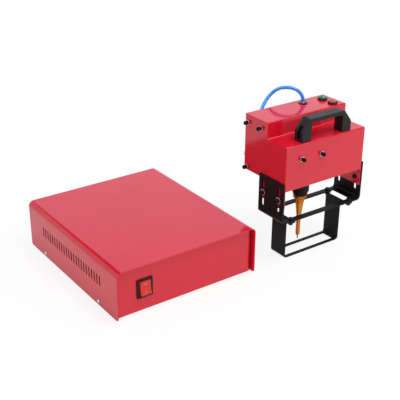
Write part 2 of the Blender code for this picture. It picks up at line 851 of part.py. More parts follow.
def make_inlet():
    """A three-pin mains inlet: flange, body with its mouth, and the pins in it."""
    z = COVER_BOTTOM + REAR_RISE
    face = REAR_PANEL_Y + GAP
    outer = rectangle(
        INLET_X - INLET_WIDTH / 2,
        INLET_X + INLET_WIDTH / 2,
        z - INLET_HEIGHT / 2,
        z + INLET_HEIGHT / 2,
        INLET_FLANGE,
    )
    inlet = plate("mains_inlet", outer, "XZ", face, face + INLET_FLANGE, BOX, BLACK_PLASTIC)
    half_x, half_z = INLET_BODY_WIDTH / 2, INLET_BODY_HEIGHT / 2
    body = block(
        "inlet_body",
        (INLET_X - half_x, face - INLET_BODY_DEPTH, z - half_z),
        (INLET_X + half_x, face + LAP, z + half_z),
        BOX,
    )
    mouth_floor = face + INLET_FLANGE - INLET_MOUTH_DEPTH
    mouth = block(
        "inlet_mouth",
        (INLET_X - half_x + INLET_WALL, mouth_floor, z - half_z + INLET_WALL),
        (INLET_X + half_x - INLET_WALL, face + INLET_FLANGE + OVERRUN, z + half_z - INLET_WALL),
        BOX,
    )
    cut(join(inlet, body), mouth)
    pins = []
    for x, drop in ((-PIN_SPACING, -PIN_DROP), (0, PIN_LIFT), (PIN_SPACING, -PIN_DROP)):
        low = (INLET_X + x - PIN_WIDTH / 2, mouth_floor - LAP, z + drop - PIN_HEIGHT / 2)
        high = (INLET_X + x + PIN_WIDTH / 2, mouth_floor + PIN_LENGTH, z + drop + PIN_HEIGHT / 2)
        pins.append(block("inlet_pin", low, high, BOX))
    return join(inlet, *pins)


def round_socket(name, base, frame):
    """A round panel socket along +Y: neck behind the panel, flange, and barrel with its mouth."""
    profile = (
        (0, SOCKET_OUT - SOCKET_MOUTH_DEPTH),
        (SOCKET_MOUTH_RADIUS, SOCKET_OUT - SOCKET_MOUTH_DEPTH),
        (SOCKET_MOUTH_RADIUS, SOCKET_OUT),
        (SOCKET_BARREL_RADIUS, SOCKET_OUT),
        (SOCKET_BARREL_RADIUS, SOCKET_FLANGE),
        (SOCKET_FLANGE_RADIUS, SOCKET_FLANGE),
        (SOCKET_FLANGE_RADIUS, 0),
        (SOCKET_NECK_RADIUS, 0),
        (SOCKET_NECK_RADIUS, -SOCKET_IN),
        (0, -SOCKET_IN),
    )
    return turned(name, profile, base, "Y", frame, NICKEL)


def make_data_socket():
    z = COVER_BOTTOM + REAR_RISE
    face = REAR_PANEL_Y + GAP
    half_x, half_z, half = DATA_WIDTH / 2, DATA_HEIGHT / 2, DATA_BODY / 2
    socket = block(
        "data_socket",
        (DATA_X - half_x, face, z - half_z),
        (DATA_X + half_x, face + DATA_FLANGE, z + half_z),
        BOX,
        ZINC,
    )
    body = block(
        "data_body",
        (DATA_X - half, face - DATA_BODY_DEPTH, z - half),
        (DATA_X + half, face + LAP, z + half),
        BOX,
    )
    mouth = block(
        "data_mouth",
        (DATA_X - DATA_MOUTH / 2, face + DATA_FLANGE - DATA_MOUTH_DEPTH, z - DATA_MOUTH / 2),
        (DATA_X + DATA_MOUTH / 2, face + DATA_FLANGE + OVERRUN, z + DATA_MOUTH / 2),
        BOX,
    )
    return cut(join(socket, body), mouth)


def make_supply():
    """An open-frame power supply: a folded chassis with its board and transformer in it."""
    right, back = SUPPLY_LEFT + SUPPLY_WIDTH, SUPPLY_FRONT + SUPPLY_DEPTH
    low = TRAY_FLOOR + GAP
    high = low + SUPPLY_HEIGHT
    outline = channel(SUPPLY_LEFT, right, low, high, SUPPLY_SHEET, SUPPLY_BEND)
    supply = plate("power_supply", outline, "XZ", SUPPLY_FRONT, back, BOX, ALUMINIUM)
    board_low = low + SUPPLY_SHEET + SUPPLY_MARGIN
    board = block(
        "supply_board",
        (SUPPLY_LEFT + SUPPLY_SHEET / 2, SUPPLY_FRONT + SUPPLY_MARGIN, board_low),
        (right - SUPPLY_SHEET / 2, back - SUPPLY_MARGIN, board_low + BOARD_SHEET),
        BOX,
    )
    side_x = SUPPLY_LEFT + SUPPLY_WIDTH / 2
    side_y = SUPPLY_FRONT + SUPPLY_DEPTH / 2
    transformer = block(
        "transformer",
        (side_x, side_y, board_low + BOARD_SHEET / 2),
        (side_x + TRANSFORMER_SIDE, side_y + TRANSFORMER_SIDE, high - SUPPLY_SHEET),
        BOX,
    )
    return join(supply, board, transformer)


def make_board():
    """The control board with its terminal strip, chip and finned heatsink."""
    right, back = BOARD_LEFT + BOARD_WIDTH, BOARD_FRONT + BOARD_DEPTH
    top = BOARD_Z + BOARD_SHEET
    board = block(
        "control_board", (BOARD_LEFT, BOARD_FRONT, BOARD_Z), (right, back, top), BOX, BOARD_GREEN
    )
    strip = block(
        "terminal_strip",
        (BOARD_LEFT + POST_INSET, BOARD_FRONT + POST_RADIUS, top - LAP),
        (right - POST_INSET, BOARD_FRONT + 2 * POST_INSET, top + 2 * CHIP_HEIGHT),
        BOX,
    )
    middle_x, middle_y = BOARD_LEFT + BOARD_WIDTH / 2, BOARD_FRONT + BOARD_DEPTH / 2
    chip = block(
        "chip",
        (middle_x + 2 * POST_INSET, middle_y - 2 * POST_INSET, top - LAP),
        (right - 2 * POST_INSET, middle_y, top + CHIP_HEIGHT),
        BOX,
    )
    sink_left, sink_right = BOARD_LEFT + 2 * POST_INSET, middle_x + POST_INSET
    sink_front, sink_back = middle_y - POST_INSET, back - 3 * POST_INSET
    base = block(
        "sink_base",
        (sink_left, sink_front, top - LAP),
        (sink_right, sink_back, top + CHIP_HEIGHT),
        BOX,
    )
    pitch = (sink_right - sink_left - HEATSINK_FIN) / (HEATSINK_FINS - 1)
    fins = [
        block(
            "sink_fin",
            (sink_left + pitch * i, sink_front, top + CHIP_HEIGHT - LAP),
            (sink_left + pitch * i + HEATSINK_FIN, sink_back, top + HEATSINK_HEIGHT),
            BOX,
        )
        for i in range(HEATSINK_FINS)
    ]
    return join(board, strip, chip, base, *fins)


def cap_screw(name, place, axis, frame, look, grip=SHANK_LENGTH):
    """A cap screw with its washer; place is on the sheet's outer face and axis points outwards."""
    washer = GAP + WASHER_SHEET
    profile = (
        (0, washer + CAP_HEIGHT),
        (CAP_RADIUS, washer + CAP_HEIGHT),
        (CAP_RADIUS, washer),
        (WASHER_RADIUS, washer),
        (WASHER_RADIUS, GAP),
        (SHANK_RADIUS, GAP),
        (SHANK_RADIUS, -grip),
        (0, -grip),
    )
    return turned(name, profile, place, axis, frame, look, sides=SCREW_SIDES)


def make_cover_screws():
    """The pan-head screws that hold the cover to the tray's flanges."""
    grip = COVER_SHEET + GAP + TRAY_SHEET
    profile = (
        (0, GAP + PAN_HEIGHT),
        (PAN_CROWN_RADIUS, GAP + PAN_HEIGHT),
        (PAN_RADIUS, GAP + PAN_RIM),
        (PAN_RADIUS, GAP),
        (SHANK_RADIUS, GAP),
        (SHANK_RADIUS, -grip),
        (0, -grip),
    )
    z = COVER_BOTTOM + COVER_SCREW_RISE
    number = 0
    for x, axis in ((0, "-X"), (BOX_WIDTH, "X")):
        for y in (COVER_SCREW_FRONT, COVER_SCREW_REAR):
            number += 1
            turned(f"cover_screw_{number}", profile, (x, y, z), axis, BOX, NICKEL, SCREW_SIDES)


# Stand

def make_bracket():
    """The bracket that straddles the housing: two slotted sides and a bottom cut to two rails."""
    outline = channel(
        -BRACKET_OUT,
        HOUSING_WIDTH + BRACKET_OUT,
        BRACKET_BOTTOM,
        BRACKET_TOP,
        BRACKET_SHEET,
        BRACKET_BEND,
    )
    bracket = plate(
        "side_bracket", outline, "XZ", -BRACKET_FRONT, -BRACKET_BACK, HEAD, BLACK_COAT
    )
    window = block(
        "bracket_window",
        (WINDOW_END, -BRACKET_FRONT + RAIL_WIDTH, BRACKET_BOTTOM - OVERRUN),
        (
            HOUSING_WIDTH - WINDOW_END,
            -BRACKET_BACK - RAIL_WIDTH,
            BRACKET_BOTTOM + BRACKET_SHEET + OVERRUN,
        ),
        HEAD,
    )
    slots = []
    for y in (SLOT_REAR, SLOT_FRONT):
        half = SLOT_WIDTH / 2
        slot = rectangle(-y - half, -y + half, SLOT_BOTTOM, SLOT_TOP, half - MERGE)
        reach = BRACKET_OUT + OVERRUN
        slots.append(plate("slot", slot, "YZ", -reach, HOUSING_WIDTH + reach, HEAD))
    return cut(bracket, window, *slots, *bolt_holes("bracket"))


def bolt_places():
    """The x and y of each bolt that holds the lower frame under the bracket's rails."""
    half = LOWER_WIDTH / 2 + BOLT_OUT
    return [
        (HOUSING_MIDDLE + side * half, -y)
        for side in (-1, 1)
        for y in (BRACKET_BACK + RAIL_WIDTH / 2, BRACKET_FRONT - RAIL_WIDTH / 2)
    ]


def bolt_holes(name):
    low = BRACKET_BOTTOM - GAP - LOWER_SHEET - OVERRUN
    length = BRACKET_BOTTOM + BRACKET_SHEET + OVERRUN - low
    return [
        rod(f"{name}_bolt_hole", BOLT_RADIUS + GAP, length, (x, y, low), "Z", HEAD, sides=SCREW_SIDES)
        for x, y in bolt_places()
    ]


def make_lower_frame():
    """The U that stands on the work: two legs, a bottom with a window, and ears under the rails."""
    top = BRACKET_BOTTOM - GAP
    left = HOUSING_MIDDLE - LOWER_WIDTH / 2
    right = HOUSING_MIDDLE + LOWER_WIDTH / 2
    outline = channel(left, right, 0, top - LOWER_SHEET / 2, LOWER_SHEET, LOWER_BEND)
    frame = plate("lower_frame", outline, "XZ", -LOWER_FRONT, -LOWER_BACK, HEAD, BLACK_COAT)
    window = block(
        "frame_window",
        (left + LOWER_SHEET + LOWER_END, -LOWER_FRONT + LOWER_STRIP, -OVERRUN),
        (right - LOWER_SHEET - LOWER_END, -LOWER_BACK - LOWER_STRIP, LOWER_SHEET + OVERRUN),
        HEAD,
    )
    plates = [
        ear_plate(left + LOWER_SHEET + LAP, left - LAP, left - EAR_REACH, top),
        ear_plate(right - LOWER_SHEET - LAP, right + LAP, right + EAR_REACH, top),
    ]
    return cut(join(frame, *plates), window, *bolt_holes("frame"))


def ear_plate(inner, outer, reach, top):
    """The flat plate on a leg's top, with an ear under each rail of the bracket."""
    corners = (
        (inner, -BRACKET_FRONT, 0),
        (reach, -BRACKET_FRONT, 0),
        (reach, -BRACKET_FRONT + RAIL_WIDTH, 0),
        (outer, -BRACKET_FRONT + RAIL_WIDTH, 0),
        (outer, -BRACKET_BACK - RAIL_WIDTH, 0),
        (reach, -BRACKET_BACK - RAIL_WIDTH, 0),
        (reach, -BRACKET_BACK, 0),
        (inner, -BRACKET_BACK, 0),
    )
    return plate("ear_plate", corners, "XY", top - LOWER_SHEET, top, HEAD)


def make_frame_bolts():
    """Each bolt with its nut: head on the rail, nut under the lower frame's ear."""
    seat = BRACKET_BOTTOM + BRACKET_SHEET
    under = BRACKET_BOTTOM - GAP - LOWER_SHEET - GAP - seat
    profile = (
        (0, GAP + BOLT_HEAD),
        (BOLT_HEAD_RADIUS, GAP + BOLT_HEAD),
        (BOLT_HEAD_RADIUS, GAP),
        (BOLT_RADIUS, GAP),
        (BOLT_RADIUS, under),
        (NUT_RADIUS, under),
        (NUT_RADIUS, under - NUT_HEIGHT),
        (0, under - NUT_HEIGHT),
    )
    for number, (x, y) in enumerate(bolt_places(), 1):
        turned(
            f"frame_bolt_{number}", profile, (x, y, seat), "Z", HEAD, BLACK_STEEL, SCREW_SIDES
        )


# Marking head: housing

def make_shell():
    """The folded housing: front, deck, step and top between two sides that end in lugs."""
    outline = (
        (0, SIDE_BOTTOM, 0),
        (0, HOUSING_TOP, 0),
        (-TOWER_DEPTH, HOUSING_TOP, HOUSING_BEND),
        (-TOWER_DEPTH, DECK_TOP, HOUSING_BEND),
        (-HOUSING_DEPTH, DECK_TOP, HOUSING_BEND),
        (-HOUSING_DEPTH, LUG_BOTTOM, 0),
        (-LUG_BACK, LUG_BOTTOM, 0),
        (-LUG_BACK, SIDE_BOTTOM, 0),
    )
    shell = plate("housing_shell", outline, "YZ", 0, HOUSING_WIDTH, HEAD, RED_PAINT)
    sheet = HOUSING_SHEET
    inner = HOUSING_BEND - sheet
    hollow = (
        (OVERRUN, LUG_BOTTOM - OVERRUN, 0),
        (OVERRUN, HOUSING_TOP - sheet, 0),
        (-TOWER_DEPTH + sheet, HOUSING_TOP - sheet, inner),
        (-TOWER_DEPTH + sheet, DECK_TOP - sheet, HOUSING_BEND + sheet),
        (-HOUSING_DEPTH + sheet, DECK_TOP - sheet, inner),
        (-HOUSING_DEPTH + sheet, LUG_BOTTOM - OVERRUN, 0),
    )
    cavity = plate("housing_cavity", hollow, "YZ", sheet, HOUSING_WIDTH - sheet, HEAD)
    gate = block(
        "lug_gate",
        (sheet, -HOUSING_DEPTH - OVERRUN, LUG_BOTTOM - OVERRUN),
        (HOUSING_WIDTH - sheet, -HOUSING_DEPTH + sheet + OVERRUN, FRONT_BOTTOM),
        HEAD,
    )
    return cut(shell, cavity, gate, *shell_holes())


def side_screw_places():
    """The y and z of the cap screws on each side of the housing."""
    return (
        (-TOP_SCREW_REAR, TOP_SCREW_Z),
        (-TOP_SCREW_FRONT, TOP_SCREW_Z),
        (-TOP_SCREW_REAR, LOW_SCREW_Z),
    )


def through_rods(name, radius, places):
    """Cutters along X, right across the housing, one at each y and z."""
    return [
        rod(name, radius, HOUSING_WIDTH + 2 * OVERRUN, (-OVERRUN, y, z), "X", HEAD, sides=SCREW_SIDES)
        for y, z in places
    ]


def front_screw_holes(depth):
    base_y = -HOUSING_DEPTH - OVERRUN
    return [
        rod(
            "front_hole",
            SHANK_RADIUS + GAP,
            depth + OVERRUN,
            (x, base_y, FRONT_SCREW_Z),
            "Y",
            HEAD,
            sides=SCREW_SIDES,
        )
        for x in (FRONT_SCREW_LEFT, FRONT_SCREW_RIGHT)
    ]


def shell_holes():
    holes = through_rods("side_hole", SHANK_RADIUS + GAP, side_screw_places())
    clamps = [(-SLOT_REAR, CLAMP_Z), (-SLOT_FRONT, CLAMP_Z)]
    holes += through_rods("clamp_hole", CLAMP_SHANK_RADIUS + GAP, clamps)
    holes += front_screw_holes(HOUSING_SHEET + OVERRUN)
    depth = HOUSING_SHEET + 2 * OVERRUN
    base_z = HOUSING_TOP - HOUSING_SHEET - OVERRUN
    for x, y, radius in (
        (FITTING_X, -FITTING_Y, GROMMET_NECK + GAP),
        (BUTTON_X, -START_Y, BARREL_RADIUS + GAP),
        (BUTTON_X, -STOP_Y, BARREL_RADIUS + GAP),
    ):
        holes.append(rod("top_hole", radius, depth, (x, y, base_z), "Z", HEAD))
    return holes


def make_rear_panel():
    """The panel that closes the back, with flanges folded forward for the side screws."""
    left = HOUSING_SHEET + GAP
    outline = [
        (u, -GAP - v, radius)
        for u, v, radius in channel(
            left, HOUSING_WIDTH - left, 0, REAR_FLANGE, HOUSING_SHEET, REAR_FOLD
        )
    ]
    low = SIDE_BOTTOM + GAP
    high = HOUSING_TOP - HOUSING_SHEET - GAP
    panel = plate("rear_panel", outline, "XY", low, high, HEAD, RED_PAINT)
    length = HOUSING_SHEET + 2 * OVERRUN
    base_y = -GAP - HOUSING_SHEET - OVERRUN
    elbow = rod("elbow_hole", STEM_RADIUS + GAP, length, (ELBOW_X, base_y, ELBOW_Z), "Y", HEAD)
    plug = rod("plug_hole", SOCKET_NECK_RADIUS + GAP, length, (PLUG_X, base_y, PLUG_Z), "Y", HEAD)
    screws = through_rods("panel_side_hole", SHANK_RADIUS + GAP, side_screw_places()[::2])
    return cut(panel, elbow, plug, *screws)


def make_inner_frame():
    """The frame inside the housing: a web across it and a flange on each side."""
    left = HOUSING_SHEET + GAP
    right = HOUSING_WIDTH - left
    outline = [
        (u, -FRAME_BACK - v, radius)
        for u, v, radius in channel(
            left, right, 0, FRAME_FRONT - FRAME_BACK, FRAME_SHEET, FRAME_FOLD
        )
    ]
    frame = plate("inner_frame", outline, "XY", FRAME_BOTTOM, FRAME_TOP, HEAD, ALUMINIUM)
    notch = block(
        "web_notch",
        (left + EAR_WIDTH, -FRAME_BACK - FRAME_SHEET - OVERRUN, WEB_TOP),
        (right - EAR_WIDTH, -FRAME_BACK + OVERRUN, FRAME_TOP + OVERRUN),
        HEAD,
    )
    inside = right - FRAME_SHEET
    bearing = rod(
        "x_bearing",
        BEARING_RADIUS,
        BEARING_LENGTH + LAP,
        (inside - BEARING_LENGTH, -X_SCREW_Y, X_SCREW_Z),
        "X",
        HEAD,
    )
    seat = rod(
        "x_bearing_seat",
        X_SCREW_RADIUS + GAP,
        BEARING_SEAT + OVERRUN,
        (inside - BEARING_LENGTH - OVERRUN, -X_SCREW_Y, X_SCREW_Z),
        "X",
        HEAD,
    )
    screws = through_rods("frame_side_hole", SHANK_RADIUS + GAP, side_screw_places()[1:2])
    return cut(join(frame, bearing), notch, seat, *screws)


def make_side_screws():
    grip = HOUSING_SHEET + GAP + FRAME_SHEET
    number = 0
    for x, axis in ((0, "-X"), (HOUSING_WIDTH, "X")):
        for y, z in side_screw_places():
            number += 1
            cap_screw(f"side_screw_{number}", (x, y, z), axis, HEAD, BLACK_STEEL, grip)


def make_front_screws():
    for number, x in enumerate((FRONT_SCREW_LEFT, FRONT_SCREW_RIGHT), 1):
        place = (x, -HOUSING_DEPTH, FRONT_SCREW_Z)
        cap_screw(f"front_screw_{number}", place, "-Y", HEAD, BLACK_STEEL)


def make_clamp_screws():
    """The screws through the bracket's slots, each with the nut inside its lug."""
    inside = -BRACKET_OUT - HOUSING_SHEET - GAP
    washer = GAP + WASHER_SHEET
    profile = (
        (0, washer + CLAMP_HEAD),
        (CLAMP_HEAD_RADIUS, washer + CLAMP_HEAD),
        (CLAMP_HEAD_RADIUS, washer),
        (CLAMP_WASHER_RADIUS, washer),
        (CLAMP_WASHER_RADIUS, GAP),
        (CLAMP_SHANK_RADIUS, GAP),
        (CLAMP_SHANK_RADIUS, inside),
        (CLAMP_NUT_RADIUS, inside),
        (CLAMP_NUT_RADIUS, inside - CLAMP_NUT),
        (0, inside - CLAMP_NUT),
    )
    number = 0
    for x, axis in ((-BRACKET_OUT, "-X"), (HOUSING_WIDTH + BRACKET_OUT, "X")):
        for y in (SLOT_REAR, SLOT_FRONT):
            number += 1
            place = (x, -y, CLAMP_Z)
            turned(
                f"clamp_screw_{number}", profile, place, axis, HEAD, BLACK_STEEL, SCREW_SIDES
            )


def make_handle():
    """The bridge handle on the deck, with slanted ends."""
    low = DECK_TOP + GAP
    high = low + HANDLE_HEIGHT
    shoulder = low + HANDLE_SHOULDER
    under = high - HANDLE_GRIP
    left = HANDLE_MIDDLE - HANDLE_LENGTH / 2
    right = HANDLE_MIDDLE + HANDLE_LENGTH / 2
    outline = (
        (left, low, 0),
        (left, shoulder, HANDLE_CURVE),
        (left + HANDLE_SLANT, high, HANDLE_CURVE),
        (right - HANDLE_SLANT, high, HANDLE_CURVE),
        (right, shoulder, HANDLE_CURVE),
        (right, low, 0),
        (right - HANDLE_LEG, low, 0),
        (right - HANDLE_LEG, under, HANDLE_CURVE),
        (left + HANDLE_LEG, under, HANDLE_CURVE),
        (left + HANDLE_LEG, low, 0),
    )
    front = -HANDLE_FRONT
    handle = plate(
        "carry_handle", outline, "XZ", front, front + HANDLE_WIDTH, HEAD, BLACK_PLASTIC
    )
    bevel = handle.modifiers.new("edges", "BEVEL")
    bevel.width = HANDLE_EDGE
    bevel.segments = 2
    bevel.limit_method = "ANGLE"
    bevel.angle_limit = SMOOTH_ANGLE
    return handle


def make_button(name, y, rise, look, dome):
    """A push button's threaded body and ring, and the cap that moves in it."""
    base = (BUTTON_X, -y, HOUSING_TOP)
    ring = GAP + RING_HEIGHT
    well = BUTTON_RADIUS + GAP
    body = (
        (0, -BUTTON_WELL),
        (well, -BUTTON_WELL),
        (well, ring),
        (RING_RADIUS, ring),
        (RING_RADIUS, GAP),
        (BARREL_RADIUS, GAP),
        (BARREL_RADIUS, -BARREL_DEPTH),
        (0, -BARREL_DEPTH),
    )
    turned(f"{name}_bezel", body, base, "Z", HEAD, BLACK_PLASTIC)
    shoulder = rise - (dome or BUTTON_EDGE)
    arc = [
        (BUTTON_RADIUS * math.sin(math.pi / 2 * i / ARC_STEPS),
         shoulder + dome * math.cos(math.pi / 2 * i / ARC_STEPS))
        for i in range(ARC_STEPS + 1)
    ]
    flat = [(0, rise), (BUTTON_RADIUS - BUTTON_EDGE, rise), (BUTTON_RADIUS, shoulder)]
    top = arc if dome else flat
    cap = [*top, (BUTTON_RADIUS, -BUTTON_DEPTH), (0, -BUTTON_DEPTH)]
    turned(f"{name}_button", cap, base, "Z", HEAD, look)


def make_top_fitting():
    """The push-in fitting on the top, in its grommet, and the collar round the tube."""
    base = (FITTING_X, -FITTING_Y, HOUSING_TOP)
    neck = GROMMET_NECK
    grommet = (
        (HEX_RADIUS + GAP, GAP + GROMMET_HEIGHT),
        (GROMMET_RADIUS, GAP + GROMMET_HEIGHT),
        (GROMMET_RADIUS, GAP),
        (neck, GAP),
        (neck, -HOUSING_SHEET - GAP),
        (HEX_RADIUS + GAP, -HOUSING_SHEET - GAP),
    )
    turned("fitting_grommet", grommet, base, "Z", HEAD, BLACK_PLASTIC, closed=True)
    low = HEX_PROUD - HEX_HEIGHT
    fitting = (
        (0, HEX_PROUD + COLLAR_HEIGHT),
        (COLLAR_MOUTH, HEX_PROUD + COLLAR_HEIGHT),
        (COLLAR_RADIUS, HEX_PROUD + COLLAR_HEIGHT / 2),
        (COLLAR_RADIUS, HEX_PROUD),
        (HEX_RADIUS, HEX_PROUD),
        (HEX_RADIUS, low),
        (STEM_RADIUS, low),
        (STEM_RADIUS, low - STEM_LENGTH),
        (0, low - STEM_LENGTH),
    )
    turned("top_fitting", fitting, base, "Z", HEAD, BRASS)


def make_elbow():
    """The elbow on the back that takes the tube's other end, from above."""
    place = (ELBOW_X, ELBOW_OUT, ELBOW_Z)
    barrel = (
        (0, ELBOW_RISE + COLLAR_HEIGHT),
        (COLLAR_MOUTH, ELBOW_RISE + COLLAR_HEIGHT),
        (COLLAR_RADIUS, ELBOW_RISE + COLLAR_HEIGHT / 2),
        (COLLAR_RADIUS, ELBOW_RISE),
        (HEX_RADIUS, ELBOW_RISE),
        (HEX_RADIUS, -ELBOW_DROP),
        (0, -ELBOW_DROP),
    )
    elbow = turned("rear_elbow", barrel, place, "Z", HEAD, BRASS)
    stem = rod(
        "elbow_stem", STEM_RADIUS, ELBOW_IN + ELBOW_OUT, (ELBOW_X, -ELBOW_IN, ELBOW_Z), "Y", HEAD
    )
    nut = rod("elbow_nut", ELBOW_NUT_RADIUS, ELBOW_NUT, (ELBOW_X, 0, ELBOW_Z), "Y", HEAD, sides=6)
    return join(elbow, stem, nut)


def make_tube():
    """The air tube: out of the top fitting, over the top and down to the elbow."""
    start = Vector((FITTING_X, -FITTING_Y, HOUSING_TOP + HEX_PROUD + COLLAR_HEIGHT + GAP))
    end = Vector((ELBOW_X, ELBOW_OUT, ELBOW_Z + ELBOW_RISE + COLLAR_HEIGHT + GAP))
    stub = start + Vector((0, 0, TUBE_STUB))
    points = [start, stub, *map(Vector, TUBE_ROUTE), end]
    curve = bpy.data.curves.new("air_tube", "CURVE")
    curve.dimensions = "3D"
    curve.bevel_depth = TUBE_RADIUS
    curve.bevel_resolution = 2
    curve.use_fill_caps = True
    spline = curve.splines.new("POLY")
    spline.points.add(len(points) - 1)
    for target, point in zip(spline.points, points):
        target.co = (*point, 1)
    return add("air_tube", curve, HEAD, BLUE_TUBE)


# Marking head: stage and stylus

def make_x_axis():
    """The X rail on the web, its motor against the left flange, and the lead screw."""
    front = -FRAME_BACK - FRAME_SHEET - GAP
    half = X_RAIL_HEIGHT / 2
    block(
        "x_rail",
        (X_RAIL_END, front - X_RAIL_DEPTH, X_RAIL_Z - half),
        (HOUSING_WIDTH - X_RAIL_END, front, X_RAIL_Z + half),
        HEAD,
        STEEL,
    )
    left = HOUSING_SHEET + GAP + FRAME_SHEET + GAP
    size = X_MOTOR_SIZE / 2
    outline = rectangle(
        -X_SCREW_Y - size, -X_SCREW_Y + size, X_SCREW_Z - size, X_SCREW_Z + size, MOTOR_CORNER
    )
    motor = plate("x_motor", outline, "YZ", left, left + X_MOTOR_LENGTH, HEAD, BLACK_STEEL)
    face = left + X_MOTOR_LENGTH
    boss_base = (face - LAP, -X_SCREW_Y, X_SCREW_Z)
    join(motor, rod("x_boss", MOTOR_BOSS_RADIUS, MOTOR_BOSS + LAP, boss_base, "X", HEAD))
    start = face + MOTOR_BOSS + GAP
    seat = HOUSING_WIDTH - HOUSING_SHEET - GAP - FRAME_SHEET - BEARING_LENGTH + BEARING_SEAT
    base = (start, -X_SCREW_Y, X_SCREW_Z)
    rod("x_lead_screw", X_SCREW_RADIUS, seat - GAP - start, base, "X", HEAD, STEEL)


def make_x_carriage():
    """The saddle on the X rail, with its nut lug above, its arm forward and the Y screw's bearing."""
    web = -FRAME_BACK - FRAME_SHEET
    rail_face = web - GAP
    back = rail_face - LAP - GAP
    top = X_RAIL_Z + X_RAIL_HEIGHT / 2 + SADDLE_WALL
    left, right = STYLUS_X - SADDLE_HALF, STYLUS_X + SADDLE_HALF
    carriage = block(
        "x_carriage", (left, -SADDLE_FRONT, ARM_BOTTOM), (right, back, top), HEAD, ALUMINIUM
    )
    groove = block(
        "x_groove",
        (left - OVERRUN, rail_face - X_RAIL_DEPTH - GAP, X_RAIL_Z - X_RAIL_HEIGHT / 2 - GAP),
        (right + OVERRUN, back + OVERRUN, X_RAIL_Z + X_RAIL_HEIGHT / 2 + GAP),
        HEAD,
    )
    arm = block(
        "arm",
        (left, -ARM_FRONT, ARM_BOTTOM),
        (STYLUS_X + ARM_RIGHT, -SADDLE_FRONT + SADDLE_WALL / 2, ARM_BOTTOM + ARM_SHEET),
        HEAD,
    )
    lug_y = -X_SCREW_Y
    lug = block(
        "nut_lug",
        (STYLUS_X - NUT_LUG_HALF, lug_y - NUT_LUG_DEPTH / 2, ARM_BOTTOM + ARM_SHEET - LAP),
        (STYLUS_X + NUT_LUG_HALF, lug_y + NUT_LUG_DEPTH / 2, X_SCREW_Z + NUT_LUG_WALL),
        HEAD,
    )
    bore = rod(
        "nut_bore",
        X_SCREW_RADIUS + GAP,
        2 * (NUT_LUG_HALF + OVERRUN),
        (STYLUS_X - NUT_LUG_HALF - OVERRUN, lug_y, X_SCREW_Z),
        "X",
        HEAD,
    )
    screw_x = STYLUS_X + Y_SCREW_OUT
    half = Y_LUG_HEIGHT / 2
    tab = block(
        "y_bearing",
        (screw_x - half, -ARM_FRONT, Y_SCREW_Z - half),
        (screw_x + half, -ARM_FRONT + Y_BEARING_SHEET, ARM_BOTTOM + LAP),
        HEAD,
    )
    seat = rod(
        "y_bearing_bore",
        Y_SCREW_RADIUS + GAP,
        Y_BEARING_SHEET + 2 * OVERRUN,
        (screw_x, -ARM_FRONT - OVERRUN, Y_SCREW_Z),
        "Y",
        HEAD,
    )
    return cut(join(carriage, arm, lug, tab), groove, bore, seat)


def make_y_axis():
    """The Y rail under the arm, its motor under the saddle, and the lead screw."""
    top = ARM_BOTTOM - GAP
    block(
        "y_rail",
        (STYLUS_X - Y_RAIL_WIDTH / 2, -Y_RAIL_FRONT, top - Y_RAIL_HEIGHT),
        (STYLUS_X + Y_RAIL_WIDTH / 2, -Y_RAIL_BACK, top),
        HEAD,
        STEEL,
    )
    screw_x = STYLUS_X + Y_SCREW_OUT
    half = Y_MOTOR_SIZE / 2
    outline = rectangle(
        screw_x - half, screw_x + half, top - Y_MOTOR_SIZE, top, MOTOR_CORNER
    )
    rear = -Y_MOTOR_FRONT + Y_MOTOR_LENGTH
    motor = plate("y_motor", outline, "XZ", -Y_MOTOR_FRONT, rear, HEAD, BLACK_STEEL)
    boss_base = (screw_x, -Y_MOTOR_FRONT + LAP, Y_SCREW_Z)
    join(motor, rod("y_boss", Y_BOSS_RADIUS, MOTOR_BOSS + LAP, boss_base, "-Y", HEAD))
    end = -ARM_FRONT + LAP
    length = -Y_MOTOR_FRONT - MOTOR_BOSS - GAP - end
    rod("y_lead_screw", Y_SCREW_RADIUS, length, (screw_x, end, Y_SCREW_Z), "Y", HEAD, STEEL)


def make_stylus_holder():
    """The block on the Y rail, with its nut lug, and the tapered holder under it."""
    rail_bottom = ARM_BOTTOM - GAP - Y_RAIL_HEIGHT
    top = ARM_BOTTOM - 2 * GAP
    low = top - BLOCK_HEIGHT
    half_y = BLOCK_DEPTH / 2
    holder = block(
        "stylus_holder",
        (STYLUS_X - BLOCK_HALF, -STYLUS_Y - half_y, low),
        (STYLUS_X + BLOCK_HALF, -STYLUS_Y + half_y, top),
        HEAD,
        BLACK_ANODISE,
    )
    groove_half = Y_RAIL_WIDTH / 2 + GAP
    groove = block(
        "y_groove",
        (STYLUS_X - groove_half, -STYLUS_Y - half_y - OVERRUN, rail_bottom - GAP),
        (STYLUS_X + groove_half, -STYLUS_Y + half_y + OVERRUN, top + OVERRUN),
        HEAD,
    )
    lug = block(
        "y_nut_lug",
        (STYLUS_X + BLOCK_HALF - LAP, -STYLUS_Y - Y_LUG_DEPTH / 2, Y_SCREW_Z - Y_LUG_HEIGHT / 2),
        (STYLUS_X + Y_LUG_REACH, -STYLUS_Y + Y_LUG_DEPTH / 2, Y_SCREW_Z + Y_LUG_HEIGHT / 2),
        HEAD,
    )
    bore = rod(
        "y_nut_bore",
        Y_SCREW_RADIUS + GAP,
        Y_LUG_DEPTH + 2 * OVERRUN,
        (STYLUS_X + Y_SCREW_OUT, -STYLUS_Y - Y_LUG_DEPTH / 2 - OVERRUN, Y_SCREW_Z),
        "Y",
        HEAD,
    )
    profile = (
        (0, low + LAP),
        (HOLDER_RADIUS, low + LAP),
        (HOLDER_RADIUS, HOLDER_SHOULDER),
        (HOLDER_MOUTH_RADIUS, HOLDER_BOTTOM),
        (0, HOLDER_BOTTOM),
    )
    cone = turned("holder_cone", profile, (STYLUS_X, -STYLUS_Y, 0), "Z", HEAD)
    return cut(join(holder, lug, cone), groove, bore)


